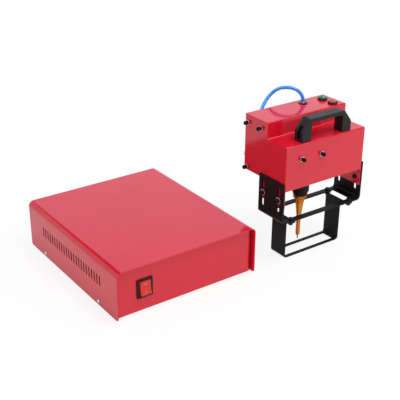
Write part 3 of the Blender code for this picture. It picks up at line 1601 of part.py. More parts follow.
def make_pen():
    """The gold pen with the chamber that its needle and spring work in."""
    top = HOLDER_BOTTOM - GAP
    flange = top - PEN_FLANGE
    profile = (
        (0, top),
        (PEN_FLANGE_RADIUS, top),
        (PEN_FLANGE_RADIUS, flange),
        (PEN_NECK_RADIUS, flange - PEN_NECK),
        (PEN_WAIST_RADIUS, PEN_WAIST_Z),
        (PEN_WAIST_RADIUS, PEN_BOTTOM + PEN_TIP),
        (PEN_TIP_RADIUS, PEN_BOTTOM),
        (NOSE_BORE, PEN_BOTTOM),
        (NOSE_BORE, CHAMBER_BOTTOM),
        (CHAMBER_RADIUS, CHAMBER_BOTTOM),
        (CHAMBER_RADIUS, CHAMBER_TOP),
        (0, CHAMBER_TOP),
    )
    turned("pen_body", profile, (STYLUS_X, -STYLUS_Y, 0), "Z", HEAD, GOLD_ANODISE)


def make_needle():
    head_top = CHAMBER_TOP - GAP
    head = head_top - NEEDLE_HEAD
    profile = (
        (0, head_top),
        (NEEDLE_HEAD_RADIUS, head_top),
        (NEEDLE_HEAD_RADIUS, head),
        (NEEDLE_RADIUS, head),
        (NEEDLE_RADIUS, NEEDLE_TIP + NEEDLE_POINT),
        (NEEDLE_POINT_RADIUS, NEEDLE_TIP),
        (0, NEEDLE_TIP),
    )
    turned("stylus_needle", profile, (STYLUS_X, -STYLUS_Y, 0), "Z", HEAD, CARBIDE, SCREW_SIDES)


def make_spring():
    """The return spring between the chamber's floor and the needle's head."""
    low = CHAMBER_BOTTOM + GAP + SPRING_WIRE
    high = CHAMBER_TOP - GAP - NEEDLE_HEAD - GAP - SPRING_WIRE
    curve = bpy.data.curves.new("needle_spring", "CURVE")
    curve.dimensions = "3D"
    curve.bevel_depth = SPRING_WIRE
    curve.bevel_resolution = 1
    curve.use_fill_caps = True
    count = SPRING_TURNS * SPRING_STEPS
    spline = curve.splines.new("POLY")
    spline.points.add(count)
    for i, target in enumerate(spline.points):
        angle = math.tau * i / SPRING_STEPS
        height = low + (high - low) * i / count
        target.co = (SPRING_RADIUS * math.cos(angle), SPRING_RADIUS * math.sin(angle), height, 1)
    add("needle_spring", curve, HEAD, STEEL, (STYLUS_X, -STYLUS_Y, 0))


def make_valve():
    """The air valve on the back of the front sheet, held by the two front screws."""
    front = -HOUSING_DEPTH + HOUSING_SHEET + GAP
    valve = block(
        "air_valve",
        (VALVE_LEFT, front, VALVE_BOTTOM),
        (VALVE_LEFT + VALVE_WIDTH, front + VALVE_DEPTH, VALVE_BOTTOM + VALVE_HEIGHT),
        HEAD,
        ALUMINIUM,
    )
    coil_low = VALVE_LEFT + VALVE_WIDTH / 2 - VALVE_COIL / 2
    coil = block(
        "valve_coil",
        (coil_low, front + VALVE_COIL_RISE, VALVE_BOTTOM + VALVE_COIL_RISE),
        (
            coil_low + VALVE_COIL,
            front + VALVE_DEPTH + VALVE_COIL_RISE,
            VALVE_BOTTOM + VALVE_HEIGHT + VALVE_COIL_RISE,
        ),
        HEAD,
    )
    return cut(join(valve, coil), *front_screw_holes(OVERRUN + SHANK_LENGTH + GAP))


def make_control_box():
    make_cover()
    make_tray()
    make_feet()
    make_switch()
    make_inlet()
    base = (SOCKET_X, REAR_PANEL_Y + GAP, COVER_BOTTOM + REAR_RISE)
    round_socket("head_cable_socket", base, BOX)
    make_data_socket()
    make_supply()
    make_board()
    make_cover_screws()


def make_stand():
    make_bracket()
    make_lower_frame()
    make_frame_bolts()


def make_head():
    make_shell()
    make_rear_panel()
    make_inner_frame()
    make_side_screws()
    make_front_screws()
    make_clamp_screws()
    make_handle()
    make_button("start", START_Y, START_RISE, GREEN_CAP, dome=BUTTON_RADIUS)
    make_button("stop", STOP_Y, STOP_RISE, RED_CAP, dome=0)
    make_top_fitting()
    make_elbow()
    make_tube()
    round_socket("signal_socket", (PLUG_X, 0, PLUG_Z), HEAD)
    make_valve()


def make_stage():
    make_x_axis()
    make_x_carriage()
    make_y_axis()
    make_stylus_holder()
    make_pen()
    make_needle()
    make_spring()


make_control_box()
make_stand()
make_head()
make_stage()
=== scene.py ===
"""How the nameplate marking machine looks: its materials, its finer pieces, light and camera.

Metres, +Z up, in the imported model's own frame.
"""

import math

import bmesh
import bpy
from mathutils import Matrix, Vector


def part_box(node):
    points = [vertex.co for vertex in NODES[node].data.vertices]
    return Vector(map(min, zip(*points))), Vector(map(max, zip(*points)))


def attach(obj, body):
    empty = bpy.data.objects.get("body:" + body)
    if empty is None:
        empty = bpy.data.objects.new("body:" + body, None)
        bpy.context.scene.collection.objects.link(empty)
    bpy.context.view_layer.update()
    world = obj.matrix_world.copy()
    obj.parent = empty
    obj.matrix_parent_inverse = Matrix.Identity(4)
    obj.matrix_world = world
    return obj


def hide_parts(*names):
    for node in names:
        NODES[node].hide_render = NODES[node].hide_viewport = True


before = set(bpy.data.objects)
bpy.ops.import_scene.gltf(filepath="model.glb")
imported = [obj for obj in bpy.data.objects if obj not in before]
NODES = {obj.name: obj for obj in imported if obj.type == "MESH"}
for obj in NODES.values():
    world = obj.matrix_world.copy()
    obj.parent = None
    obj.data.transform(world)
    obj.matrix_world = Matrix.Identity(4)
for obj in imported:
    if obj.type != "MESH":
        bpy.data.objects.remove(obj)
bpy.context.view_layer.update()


def middle_of(node):
    low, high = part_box(node)
    return (low + high) / 2


def upright(node, height):
    """The place on a node's upright middle line, at a height."""
    middle = middle_of(node)
    return Vector((middle.x, middle.y, height))


# Where the two units stand: each one's front-left or rear-left edge, on the floor
COVER_LOW, COVER_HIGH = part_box("controller_cover")
SHELL_LOW, SHELL_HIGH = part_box("housing_shell")
BOX = Vector((COVER_LOW.x, COVER_LOW.y, 0))
HEAD = Vector((SHELL_LOW.x, SHELL_HIGH.y, 0))

# Directions
LEFT = (-1, 0, 0)
RIGHT = (1, 0, 0)
FRONT = (0, -1, 0)
BACK = (0, 1, 0)

# Shared values
GAP = 0.0003
FIT = 0.0001
SIDES = 48
FINE_SIDES = 96
SMALL_SIDES = 24
PIN_SIDES = 16
HEX = 6
CORNERS = 4
DOME_ROWS = 12
DOME_TURNS = [math.pi / 2 * step / DOME_ROWS for step in range(1, DOME_ROWS + 1)]
CREASE = math.radians(38)
EDGE_ANGLE = math.radians(40)
FLAT_ANGLE = math.radians(1)
EDGE_SEGMENTS = 2
EVEN_WEIGHT = 100
WELD = 0.00001

# Camera
LENS = 75.152
SENSOR = 36
CAMERA_PLACE = BOX + Vector((-0.49487, -0.90233, 0.69342))
CAMERA_PITCH = math.radians(25.591)
CAMERA_YAW = math.radians(35.355)
CAMERA_ROLL = math.radians(0.325)

# Light
WHITE = (1, 1, 1, 1)
FLOOR_HALF = 6.0
SHADOW_SHARE = 0.14
MIRROR_SHARE = 0.5
SHADOW_REACH = (0.5, 1.4)
DOME_STRENGTH = 0.62
KEY_SIZE = 1.5
KEY_PLACE = Vector((0.58, -1.07, 2.63))
KEY_POWER = 40

# What glossy surfaces mirror of the dome: colours, and the sine of the height angle where each is reached
LOW_GLOW = (1.05, 0.98, 1.16)
DARK_BAND = (0.12, 0.11, 0.13)
RING_OF_LIGHT = (4.4, 4.3, 4.4)
CROWN = (0.30, 0.28, 0.33)
CEILING = (
    (0.50, LOW_GLOW),
    (0.60, DARK_BAND),
    (0.73, DARK_BAND),
    (0.79, RING_OF_LIGHT),
    (0.87, RING_OF_LIGHT),
    (0.92, CROWN),
)

# Materials: the shares of a noise's range between which a look drifts, and what several looks share
DRIFT_SHARES = (0.3, 0.7)
# Painted shade: the dark red painted on the cover's inner side and in its slots
INNER_SHADE_RED = (0.045, 0.002, 0.003)
DRAWN_OUT = (0.12, 0.12, 1.0)
METAL_DARK_SHARE = 0.88
METAL_LIGHT_SHARE = 1.08
METAL_RELIEF = 0.00001
GLOSS_SHARES = (0.8, 1.2)
SCATTER = 0.25
SCATTER_SCALE = 0.001
COAT_ROUGHNESS = 0.12
PLASTIC_RELIEF = 0.00001

# A mix node's sockets for colours, by number
MIX_COLOURS = (6, 7)
MIX_RESULT = 2

# Bare metals: colour, least and most roughness, grain scale, metallic share
METALS = {
    "nickel": ((0.72, 0.71, 0.68), 0.20, 0.34, 900, 1.0),
    "steel": ((0.50, 0.50, 0.51), 0.24, 0.40, 1100, 1.0),
    "zinc": ((0.46, 0.47, 0.48), 0.38, 0.52, 300, 1.0),
    "aluminium": ((0.62, 0.62, 0.63), 0.34, 0.50, 700, 1.0),
    "brass": ((0.92, 0.68, 0.32), 0.16, 0.28, 600, 1.0),
    "carbide": ((0.10, 0.10, 0.105), 0.24, 0.36, 1400, 0.9),
}

# Clear plastics: darker and lighter colour, roughness, how far each colour of light goes in, clear coat
RED_LIGHT = (1.0, 0.2, 0.1)
PLASTICS = {
    "red_lens": ((0.62, 0.014, 0.008), (0.70, 0.020, 0.011), 0.34, RED_LIGHT, 0.0),
    "red_cap": ((0.34, 0.035, 0.032), (0.42, 0.05, 0.045), 0.42, RED_LIGHT, 0.0),
    "green_cap": ((0.016, 0.20, 0.115), (0.022, 0.25, 0.145), 0.20, (0.2, 1.0, 0.4), 0.3),
    "blue_tube": ((0.016, 0.30, 0.88), (0.020, 0.34, 0.94), 0.24, (0.2, 0.5, 1.0), 0.1),
    "collar_blue": ((0.03, 0.095, 0.62), (0.045, 0.13, 0.74), 0.30, (0.2, 0.4, 1.0), 0.2),
}

# Rounded folds of the housing's sheet, where two broad faces meet
FOLDED = "housing_shell"
FOLD_RADIUS = 0.0026
FOLD_SEGMENTS = 4
BROAD_FACE = 0.002

# How far the edges of carried-over nodes are softened
SOFT_EDGES = (
    (0.0002, ("x_lead_screw", "y_lead_screw")),
    (0.0003, ("control_board", "data_socket", "rear_elbow", "x_rail", "y_rail")),
    (0.0004, ("controller_cover", "controller_tray", "power_supply", "head_cable_socket")),
    (0.0004, ("housing_shell", "rear_panel", "inner_frame", "signal_socket")),
    (0.0004, ("x_motor", "x_carriage", "y_motor")),
    (0.0005, ("mains_inlet", "side_bracket", "lower_frame", "air_valve")),
    (0.0006, ("switch_bezel",)),
    (0.0008, ("controller_foot_1", "controller_foot_2", "controller_foot_3", "controller_foot_4")),
    (0.0009, ("carry_handle",)),
)
SMALL_EDGE = 0.0004
BLOCK_EDGE = 0.0003

# Control box: painted shade, where the cover is painted dark red on its inner side and in its slots,
# counted from its outside
SHADE_DEPTH = 0.0004
SHADE_FRONT = 0.0115
SHADE_TOP = 0.02

# Power switch
SWITCH = middle_of("switch_bezel")
SWITCH_SETBACK = 0.011
ROCKER_HALF_X = 0.0089
ROCKER_HALF_Z = 0.0114
ROCKER_DEPTH = 0.0085
ROCKER_VALLEY = 0.0014
ROCKER_CURVE = 1.25
ROCKER_BACK = 0.0006
ROCKER_TILT = math.radians(8)
ROCKER_ROWS = 10
ROCKER_COLUMN_SHARES = (-1, -0.97, -0.9, -0.5, 0, 0.5, 0.9, 0.97, 1)

# Where the rocker's face falls away, as shares of the way to its ends and sides, and by how much
LIP_SHARE = 0.93
LIP_DROP = 0.0005
SIDE_SHARE = 0.9
SIDE_DROP = 0.0004

# The rocker's two marks
MARK_OUT = 0.00005
MARK_SIDES = 32
MARK_RADIUS = 0.0016
MARK_LINE = 0.00032
MARK_HEIGHT = 0.0062
BAR_HALF = 0.0017
BAR_ROWS = 8

# Cover screws
PAN_RADIUS = 0.0028
PAN_HEIGHT = 0.0018
PAN_EDGE_SHARE = 0.2
PAN_FOOT_SHARE = 0.96
PAN_CROWN_SHARE = 0.02
THREAD_TIP_SHARE = 0.7
THREAD_START_SHARE = 0.8
CROSS_HALF = 0.00042
CROSS_DEPTH = 0.0009
CROSS_SHARE = 0.66
CROSS_SLOPE_SHARE = 0.5

# Sockets on the backs
MOUTH_RADIUS = 0.0065
MOUTH_DEPTH = 0.009
INSERT_EDGE = 0.0022
INSERT_TOP = 0.0026
INSERT_SHARES = (0.94, 0.2)
PIN_COUNT = 5
PIN_RADIUS = 0.0006
PIN_RING = 0.0035
PIN_TIP_SHARE = 0.6
PIN_HEIGHTS = (0.002, 0.0066, 0.0072)
INLET_PINS = ((-0.007, -0.003), (0, 0.004), (0.007, -0.003))
INLET_DEPTH = 0.014
SLEEVE_HALF = Vector((0.00108, 0, 0.00208))
SLEEVE_LENGTH = 0.01105
TONGUE_HALF = Vector((0.0028, 0, 0.0016))
TONGUE_DEPTHS = (0.0088, 0.0016)

# Cap screws, with their washers and nuts
CAP_RADIUS = 0.0035
CAP_HEIGHT = 0.0055
WASHER_RADIUS = 0.0045
SHANK_RADIUS = 0.002
CLAMP_RADIUS = 0.0042
CLAMP_HEIGHT = 0.0045
CLAMP_WASHER_RADIUS = 0.0056
CLAMP_SHANK_RADIUS = 0.0024
CLAMP_NUT_RADIUS = 0.004
CLAMP_NUT = 0.003
WASHER_SHEET = 0.0008
WASHER_LIP_SHARE = 0.2
WASHER_BORE_SHARE = 1.08
KNURL = 0.00012
SHANK_TIP_SHARE = 0.8
SHANK_START_SHARE = 0.9
NUT_FACE_SHARE = 0.9
NUT_EDGE_SHARE = 0.1

# Shares of a cap's radius and height, from its seat up, and whether it is knurled there
CAP_SHARES = ((0.94, 0, 0), (1, 0.08, 1), (1, 0.8, 1), (0.96, 0.88, 0), (0.86, 1, 0))

# Its hexagon socket as a share of its radius, then shares of the socket's radius and the cap's height
HEXAGON_SHARE = 0.56
HEXAGON_SHARES = ((1.14, 1, 0), (1.02, 0.95, HEX), (1, 0.45, HEX), (0.3, 0.37, 0))

# Frame bolts: heights over the thread's end or under the head's top, radii as shares
BOLT_HEAD_RADIUS = 0.004
BOLT_HEAD = 0.003
BOLT_HEAD_EDGE = 0.0005
BOLT_HEAD_DISH = 0.0002
BOLT_HEAD_SHARES = (0.84, 0.5, 0.48, 0.1)
THREAD_EDGE = 0.0003
THREAD_SHARE = 0.9
NUT_RADIUS = 0.0042
NUT_LOW = 0.0006
NUT_EDGE = 0.0009
NUT_SHARES = (0.82, 0.92)
FLANGE_START = 0.0026
FLANGE_LOW = 0.0028
FLANGE_TOP = 0.0034
NUT_TOP = 0.0035

# Marking head
TOP = SHELL_HIGH.z
FITTING = upright("top_fitting", TOP)
START = upright("start_bezel", TOP)
STOP = upright("stop_bezel", TOP)
STYLUS = upright("pen_body", 0)
HANDLE_LOW, HANDLE_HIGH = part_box("carry_handle")
POCKET_RADIUS = 0.00375
POCKET_LOW = 0.003
POCKET_HIGH = 0.0255
POCKET_DEPTH = 0.008
POCKET_EDGE = 0.001
POCKET_END_SHARE = 0.8
POCKET_OVERRUN = 0.012

# The air tube's line, in the marking head's terms
TUBE_RADIUS = 0.0029
TUBE_ROUNDNESS = 8
TUBE_ORDER = 4
TUBE_STEPS = 4
TUBE_START = (0.1083, -0.0161, 0.244)
TUBE_END = (0.037, 0.0115, 0.2085)
TUBE_ROUTE = (
    (0.10719, -0.01491, 0.24963),
    (0.10538, -0.01297, 0.25399),
    (0.10294, -0.01037, 0.25763),
    (0.09999, -0.00729, 0.26043),
    (0.09664, -0.00390, 0.26225),
    (0.09305, -0.00038, 0.26314),
    (0.08936, 0.00313, 0.26340),
    (0.08560, 0.00658, 0.26316),
    (0.08179, 0.00990, 0.26243),
    (0.07804, 0.01298, 0.26086),
    (0.07460, 0.01573, 0.25828),
    (0.07133, 0.01794, 0.25505),
    (0.06785, 0.01947, 0.25164),
    (0.06409, 0.02021, 0.24827),
    (0.06022, 0.02013, 0.24494),
    (0.05641, 0.01935, 0.24164),
    (0.05273, 0.01812, 0.23831),
    (0.04920, 0.01672, 0.23490),
    (0.04580, 0.01529, 0.23136),
    (0.04266, 0.01395, 0.22756),
    (0.04010, 0.01284, 0.22329),
    (0.03830, 0.01206, 0.21858),
    (0.03730, 0.01163, 0.21360),
)
ELBOW_HEIGHT = 0.196
ELBOW = HEAD + Vector((*TUBE_END[:2], ELBOW_HEIGHT))

# Outlines of turned pieces: radius, height over the place where each stands, and its flats if any
STEM_RADIUS = 0.0035
STEM_EDGE = 0.0004
STEM_TIP_RADIUS = 0.0032
FITTING_BODY = (
    (STEM_RADIUS, -0.004),
    (0.0046, -0.004),
    (0.0054, -0.0036, HEX),
    (0.0056, -0.0032, HEX),
    (0.0056, 0.0033, HEX),
    (0.0051, 0.0039),
    (0.0030, 0.0039),
)
FITTING_RING = (
    (0.0058, GAP),
    (0.0074, GAP),
    (0.0078, 0.0006),
    (0.0077, 0.0010),
    (0.0072, 0.0012),
    (0.0061, 0.0012),
    (0.0058, 0.0008),
)
COLLAR_BORE = TUBE_RADIUS + GAP
MOUTH_GAP = 0.0002
COLLAR_MOUTH = TUBE_RADIUS + MOUTH_GAP
TOP_COLLAR = (
    (COLLAR_BORE, 0.0040),
    (0.0051, 0.0040),
    (0.0056, 0.0043),
    (0.0056, 0.0051),
    (0.0052, 0.0055),
    (0.0039, 0.0057),
    (0.0037, 0.0061),
    (0.0034, 0.0068),
    (COLLAR_MOUTH, 0.0069),
)
ELBOW_COLLAR = (
    (COLLAR_BORE, 0.0122),
    (0.0040, 0.0122),
    (0.0043, 0.0124),
    (0.0040, 0.0129),
    (COLLAR_MOUTH, 0.0130),
)
BUTTON_RING = (
    # Bore and collar
    (0.0068, -0.010),
    (0.0068, 0.0021),
    (0.0071, 0.0026),
    (0.0079, 0.0029),
    (0.0083, 0.0026),
    (0.0085, 0.0018),
    (0.0085, GAP),
    # Threaded body below
    (0.0074, GAP),
    (0.0074, -0.020),
    (0.0060, -0.020),
    (0.0060, -0.010),
)
RED_CAP = (
    (0.0058, -0.006),
    (0.0064, -0.0055),
    (0.0064, 0.0034),
    (0.0062, 0.0040),
    (0.0058, 0.0043),
    (0.0050, 0.00435),
    (0.0030, 0.0042),
    (0.0002, 0.00415),
)
DOME_RADIUS = 0.0066
DOME_FOOT = 0.0028
DOME_HEIGHT = 0.0048
DOME_FULLNESS = 0.8
DOME_TIP = 0.0001
GREEN_SKIRT = ((0.0058, -0.006), (0.0065, -0.0055), (DOME_RADIUS, DOME_FOOT))

# The stylus from its flange down, in heights over the floor
PEN = (
    # Flange
    (0.0060, 0.1017),
    (0.0111, 0.1017),
    (0.0115, 0.1013),
    (0.0115, 0.0972),
    (0.0111, 0.0967),
    # Neck and cone
    (0.0084, 0.0950),
    (0.0078, 0.0940),
    (0.0078, 0.0926),
    (0.0076, 0.0921),
    (0.0038, 0.0624),
    # Waist ring
    (0.0038, 0.0618),
    (0.0042, 0.0614),
    (0.0043, 0.0601),
    (0.0042, 0.0588),
    # Barrel and nose
    (0.0036, 0.0584),
    (0.0036, 0.0284),
    (0.0035, 0.0277),
    (0.0029, 0.0258),
    (0.0026, 0.0255),
    # Bore for the needle
    (0.0014, 0.0255),
    (0.0014, 0.0284),
)
NEEDLE = (
    # Head
    (0.0018, 0.0532),
    (0.0022, 0.0530),
    (0.0022, 0.0484),
    (0.0020, 0.0482),
    # Shank and point
    (0.0010, 0.0482),
    (0.0010, 0.0200),
    (0.00092, 0.0196),
    (0.00015, 0.0173),
    (0.00005, 0.0172),
)

# The pen's retaining screw
GRUB = ((0.0009, -0.0012), (0.0009, 0.0002), (0.0006, 0.0004), (0.0004, -0.0001))
GRUB_PLACE = STYLUS + Vector((-0.0043, -0.0057, 0.0885))
GRUB_DIRECTION = (-0.6, -0.8, -0.1)

# The stylus holder: its turned cup, its block on the Y rail, and the lug open for the Y lead screw
BLOCK_LOW = 0.1484
HOLDER_CUP = (
    (0.0100, BLOCK_LOW),
    (0.0140, BLOCK_LOW),
    (0.0145, 0.1478),
    (0.0145, 0.1101),
    (0.0143, 0.1092),
    (0.0119, 0.1034),
    (0.0119, 0.1026),
    (0.0116, 0.1020),
    (0.0090, 0.1020),
)
BLOCK_HALF_X = 0.013
BLOCK_HALF_Y = 0.012
SADDLE_TOP = 0.1574
CHEEK_LOW = 0.1572
CHEEK_INSIDE = 0.0038
LUG_HALF_Y = 0.006
LUG_FROM_X = 0.0128
LUG_TO_X = 0.0219

# The lug's four walls: from and to along X, then along Z
LUG_WALLS = (
    (LUG_FROM_X, 0.0148, 0.1478, 0.1572),
    (0.0192, LUG_TO_X, 0.1478, 0.1572),
    (LUG_FROM_X, LUG_TO_X, 0.1548, 0.1573),
    (LUG_FROM_X, LUG_TO_X, 0.1477, 0.1502),
)


# Camera and light

def add_object(name, data):
    made = bpy.data.objects.new(name, data)
    bpy.context.scene.collection.objects.link(made)
    return made


def make_camera():
    data = bpy.data.cameras.new("camera")
    data.lens = LENS
    data.sensor_width = SENSOR
    camera = add_object("camera", data)
    level = Vector((math.sin(CAMERA_YAW), math.cos(CAMERA_YAW), 0))
    forward = level * math.cos(CAMERA_PITCH) - Vector((0, 0, math.sin(CAMERA_PITCH)))
    side = forward.cross(Vector((0, 0, 1))).normalized()
    over = side.cross(forward)
    right = side * math.cos(CAMERA_ROLL) + over * math.sin(CAMERA_ROLL)
    up = over * math.cos(CAMERA_ROLL) - side * math.sin(CAMERA_ROLL)
    turned = Matrix((right, up, -forward)).transposed().to_4x4()
    camera.matrix_world = Matrix.Translation(CAMERA_PLACE) @ turned
    bpy.context.scene.camera = camera


def combine(nodes, links, operation, first, second):
    """One number from two, each a socket or a plain number."""
    made = nodes.new("ShaderNodeMath")
    made.operation = operation
    for target, value in zip(made.inputs, (first, second)):
        if isinstance(value, float):
            target.default_value = value
        else:
            links.new(value, target)
    return made.outputs[0]


def mixed(nodes, links, share, first, second):
    """Two shaders as one, by a share of the second."""
    made = nodes.new("ShaderNodeMixShader")
    for target, source in zip(made.inputs, (share, first, second)):
        links.new(source, target)
    return made.outputs[0]


def seen_share(nodes, links):
    """How plain white the paper is: less so near the object, where it keeps its shadow."""
    place = nodes.new("ShaderNodeTexCoord")
    reach = nodes.new("ShaderNodeVectorMath")
    reach.operation = "LENGTH"
    links.new(place.outputs["Object"], reach.inputs[0])
    fade = nodes.new("ShaderNodeMapRange")
    fade.inputs["From Min"].default_value = SHADOW_REACH[0]
    fade.inputs["From Max"].default_value = SHADOW_REACH[1]
    fade.inputs["To Min"].default_value = 1 - SHADOW_SHARE
    links.new(reach.outputs["Value"], fade.inputs["Value"])
    path = nodes.new("ShaderNodeLightPath")
    direct = combine(nodes, links, "MULTIPLY", path.outputs["Is Camera Ray"], fade.outputs[0])
    mirrored = combine(nodes, links, "MULTIPLY", path.outputs["Is Glossy Ray"], MIRROR_SHARE)
    seen = combine(nodes, links, "MAXIMUM", direct, mirrored)
    return combine(nodes, links, "MAXIMUM", seen, path.outputs["Is Transmission Ray"])


def mirrored_ceiling(nodes, links):
    """The dome's colour by height, for glossy surfaces alone."""
    place = nodes.new("ShaderNodeTexCoord")
    split = nodes.new("ShaderNodeSeparateXYZ")
    links.new(place.outputs["Generated"], split.inputs[0])
    ceiling = nodes.new("ShaderNodeValToRGB")
    ramp = ceiling.color_ramp
    ramp.interpolation = "EASE"
    while len(ramp.elements) < len(CEILING):
        ramp.elements.new(1)
    for stop, (height, colour) in zip(ramp.elements, CEILING):
        stop.position = height
        stop.color = (*colour, 1)
    links.new(split.outputs["Z"], ceiling.inputs[0])
    return ceiling.outputs[0]


def make_world():
    """An even white dome; what glossy surfaces mirror of it darkens upwards, but for a ring of light."""
    world = bpy.data.worlds.new("studio")
    world.use_nodes = True
    bpy.context.scene.world = world
    nodes, links = world.node_tree.nodes, world.node_tree.links
    nodes.clear()
    mirrored = nodes.new("ShaderNodeBackground")
    links.new(mirrored_ceiling(nodes, links), mirrored.inputs["Color"])
    seen = nodes.new("ShaderNodeBackground")
    seen.inputs["Color"].default_value = WHITE
    dome = nodes.new("ShaderNodeBackground")
    dome.inputs["Color"].default_value = WHITE
    dome.inputs["Strength"].default_value = DOME_STRENGTH
    path = nodes.new("ShaderNodeLightPath").outputs
    lit = mixed(nodes, links, path["Is Glossy Ray"], dome.outputs[0], mirrored.outputs[0])
    direct = combine(nodes, links, "MAXIMUM", path["Is Camera Ray"], path["Is Transmission Ray"])
    out = nodes.new("ShaderNodeOutputWorld")
    links.new(mixed(nodes, links, direct, lit, seen.outputs[0]), out.inputs[0])


def make_floor():
    """A white sweep of floor that keeps a soft part of the object's shadow."""
    paper = bpy.data.materials.new("white_floor")
    paper.use_nodes = True
    nodes, links = paper.node_tree.nodes, paper.node_tree.links
    nodes.clear()
    matt = nodes.new("ShaderNodeBsdfDiffuse")
    matt.inputs["Color"].default_value = WHITE
    glow = nodes.new("ShaderNodeEmission")
    glow.inputs["Color"].default_value = WHITE
    out = nodes.new("ShaderNodeOutputMaterial")
    surface = mixed(nodes, links, seen_share(nodes, links), matt.outputs[0], glow.outputs[0])
    links.new(surface, out.inputs[0])
    data = bpy.data.meshes.new("floor")
    corners = [(x * FLOOR_HALF, y * FLOOR_HALF, 0) for x, y in ((-1, -1), (1, -1), (1, 1), (-1, 1))]
    data.from_pydata(corners, [], [(0, 1, 2, 3)])
    data.materials.append(paper)
    add_object("floor", data)


def make_key():
    """One large soft lamp, high up, in front and a little to the right."""
    data = bpy.data.lights.new("key", "AREA")
    data.shape = "DISK"
    data.size = KEY_SIZE
    data.energy = KEY_POWER
    key = add_object("key", data)
    aim = (-KEY_PLACE).to_track_quat("-Z", "Y").to_matrix().to_4x4()
    key.matrix_world = Matrix.Translation(KEY_PLACE) @ aim


# Materials

class Look:
    """A material with its nodes at hand, textured in the object's own coordinates."""

    def __init__(self, name, colour, roughness, metallic=0.0, specular=None):
        self.made = bpy.data.materials.new(name)
        self.made.use_nodes = True
        self.made.diffuse_color = (*colour, 1)
        self.nodes, self.links = self.made.node_tree.nodes, self.made.node_tree.links
        self.surface = self.nodes["Principled BSDF"].inputs
        self.surface["Base Color"].default_value = (*colour, 1)
        self.surface["Roughness"].default_value = roughness
        self.surface["Metallic"].default_value = metallic
        if specular is not None:
            self.surface["Specular IOR Level"].default_value = specular
        self.place = self.nodes.new("ShaderNodeTexCoord").outputs["Object"]

    def noise(self, scale, detail=3, stretch=None):
        """A noise texture whose grain may be drawn out along an axis."""
        place = self.place
        if stretch:
            drawn = self.nodes.new("ShaderNodeMapping")
            drawn.inputs["Scale"].default_value = stretch
            self.links.new(place, drawn.inputs["Vector"])
            place = drawn.outputs[0]
        made = self.nodes.new("ShaderNodeTexNoise")
        made.inputs["Scale"].default_value = scale
        made.inputs["Detail"].default_value = detail
        self.links.new(place, made.inputs["Vector"])
        return made.outputs["Fac"]

    def turning_marks(self, scale, distortion=0.6, detail=2):
        """Fine lathe lines round a vertical axis."""
        wave = self.nodes.new("ShaderNodeTexWave")
        wave.bands_direction = "Z"
        wave.inputs["Scale"].default_value = scale
        wave.inputs["Distortion"].default_value = distortion
        wave.inputs["Detail"].default_value = detail
        self.links.new(self.place, wave.inputs["Vector"])
        return wave.outputs["Fac"]

    def tint(self, height, dark, light):
        """The base colour drifts between two colours with a texture."""
        ramp = self.nodes.new("ShaderNodeValToRGB")
        for element, share, colour in zip(ramp.color_ramp.elements, DRIFT_SHARES, (dark, light)):
            element.position = share
            element.color = (*colour, 1)
        self.links.new(height, ramp.inputs[0])
        self.links.new(ramp.outputs[0], self.surface["Base Color"])

    def gloss(self, height, low, high):
        """The roughness drifts between two values with a texture."""
        span = self.nodes.new("ShaderNodeMapRange")
        span.inputs["From Min"].default_value = DRIFT_SHARES[0]
        span.inputs["From Max"].default_value = DRIFT_SHARES[1]
        span.inputs["To Min"].default_value = low
        span.inputs["To Max"].default_value = high
        self.links.new(height, span.inputs[0])
        self.links.new(span.outputs[0], self.surface["Roughness"])

    def relief(self, height, depth):
        """Bumps of a real depth with a texture."""
        bump = self.nodes.new("ShaderNodeBump")
        bump.inputs["Distance"].default_value = depth
        bump.inputs["Strength"].default_value = 1
        self.links.new(height, bump.inputs["Height"])
        self.links.new(bump.outputs[0], self.surface["Normal"])


def red_coat(name):
    """Glossy powder coat with a faint orange peel and a slow drift in depth of colour."""
    look = Look(name, (0.66, 0.011, 0.0175), roughness=0.10)
    look.tint(look.noise(scale=9, detail=2), dark=(0.635, 0.0078, 0.0260), light=(0.685, 0.0098, 0.0290))
    look.gloss(look.noise(scale=160, detail=4), low=0.08, high=0.13)
    look.relief(look.noise(scale=620, detail=1), depth=0.000022)
    return look


def within(nodes, links, value, low, high):
    """One where a number lies between two limits, else nothing."""
    above = combine(nodes, links, "GREATER_THAN", value, low)
    below = combine(nodes, links, "LESS_THAN", value, high)
    return combine(nodes, links, "MULTIPLY", above, below)


def shaded_cover_coat():
    """The same paint on the cover, with painted shade: dark red painted on its inner side and down in its
    slots, where shade falls.
    """
    look = red_coat("cover_paint_inner_shade")
    nodes, links = look.nodes, look.links
    split = nodes.new("ShaderNodeSeparateXYZ")
    links.new(look.place, split.inputs[0])
    limits = (
        (COVER_LOW.x + SHADE_DEPTH, COVER_HIGH.x - SHADE_DEPTH),
        (COVER_LOW.y + SHADE_FRONT, COVER_HIGH.y - SHADE_FRONT),
        (COVER_LOW.z + SHADE_DEPTH, COVER_HIGH.z - SHADE_TOP),
    )
    shade_mask = 1.0
    for value, (low, high) in zip(split.outputs, limits):
        shade_mask = combine(nodes, links, "MULTIPLY", shade_mask, within(nodes, links, value, low, high))
    # Painted shade: the inner side and the slots take a dark red in place of the paint's colour
    mix = nodes.new("ShaderNodeMix")
    mix.data_type = "RGBA"
    outer, inner = (mix.inputs[number] for number in MIX_COLOURS)
    links.new(shade_mask, mix.inputs["Factor"])
    links.new(look.surface["Base Color"].links[0].from_socket, outer)
    inner.default_value = (*INNER_SHADE_RED, 1)
    links.new(mix.outputs[MIX_RESULT], look.surface["Base Color"])
    return look


def black_coat():
    """Fine-textured black powder coat on the folded sheet."""
    look = Look("black_coat", (0.0062, 0.0058, 0.006), roughness=0.42, specular=0.12)
    look.tint(look.noise(scale=60), dark=(0.0048, 0.0045, 0.0046), light=(0.0080, 0.0074, 0.0076))
    look.gloss(look.noise(scale=900), low=0.34, high=0.50)
    look.relief(look.noise(scale=1700, detail=4), depth=0.00006)
    return look


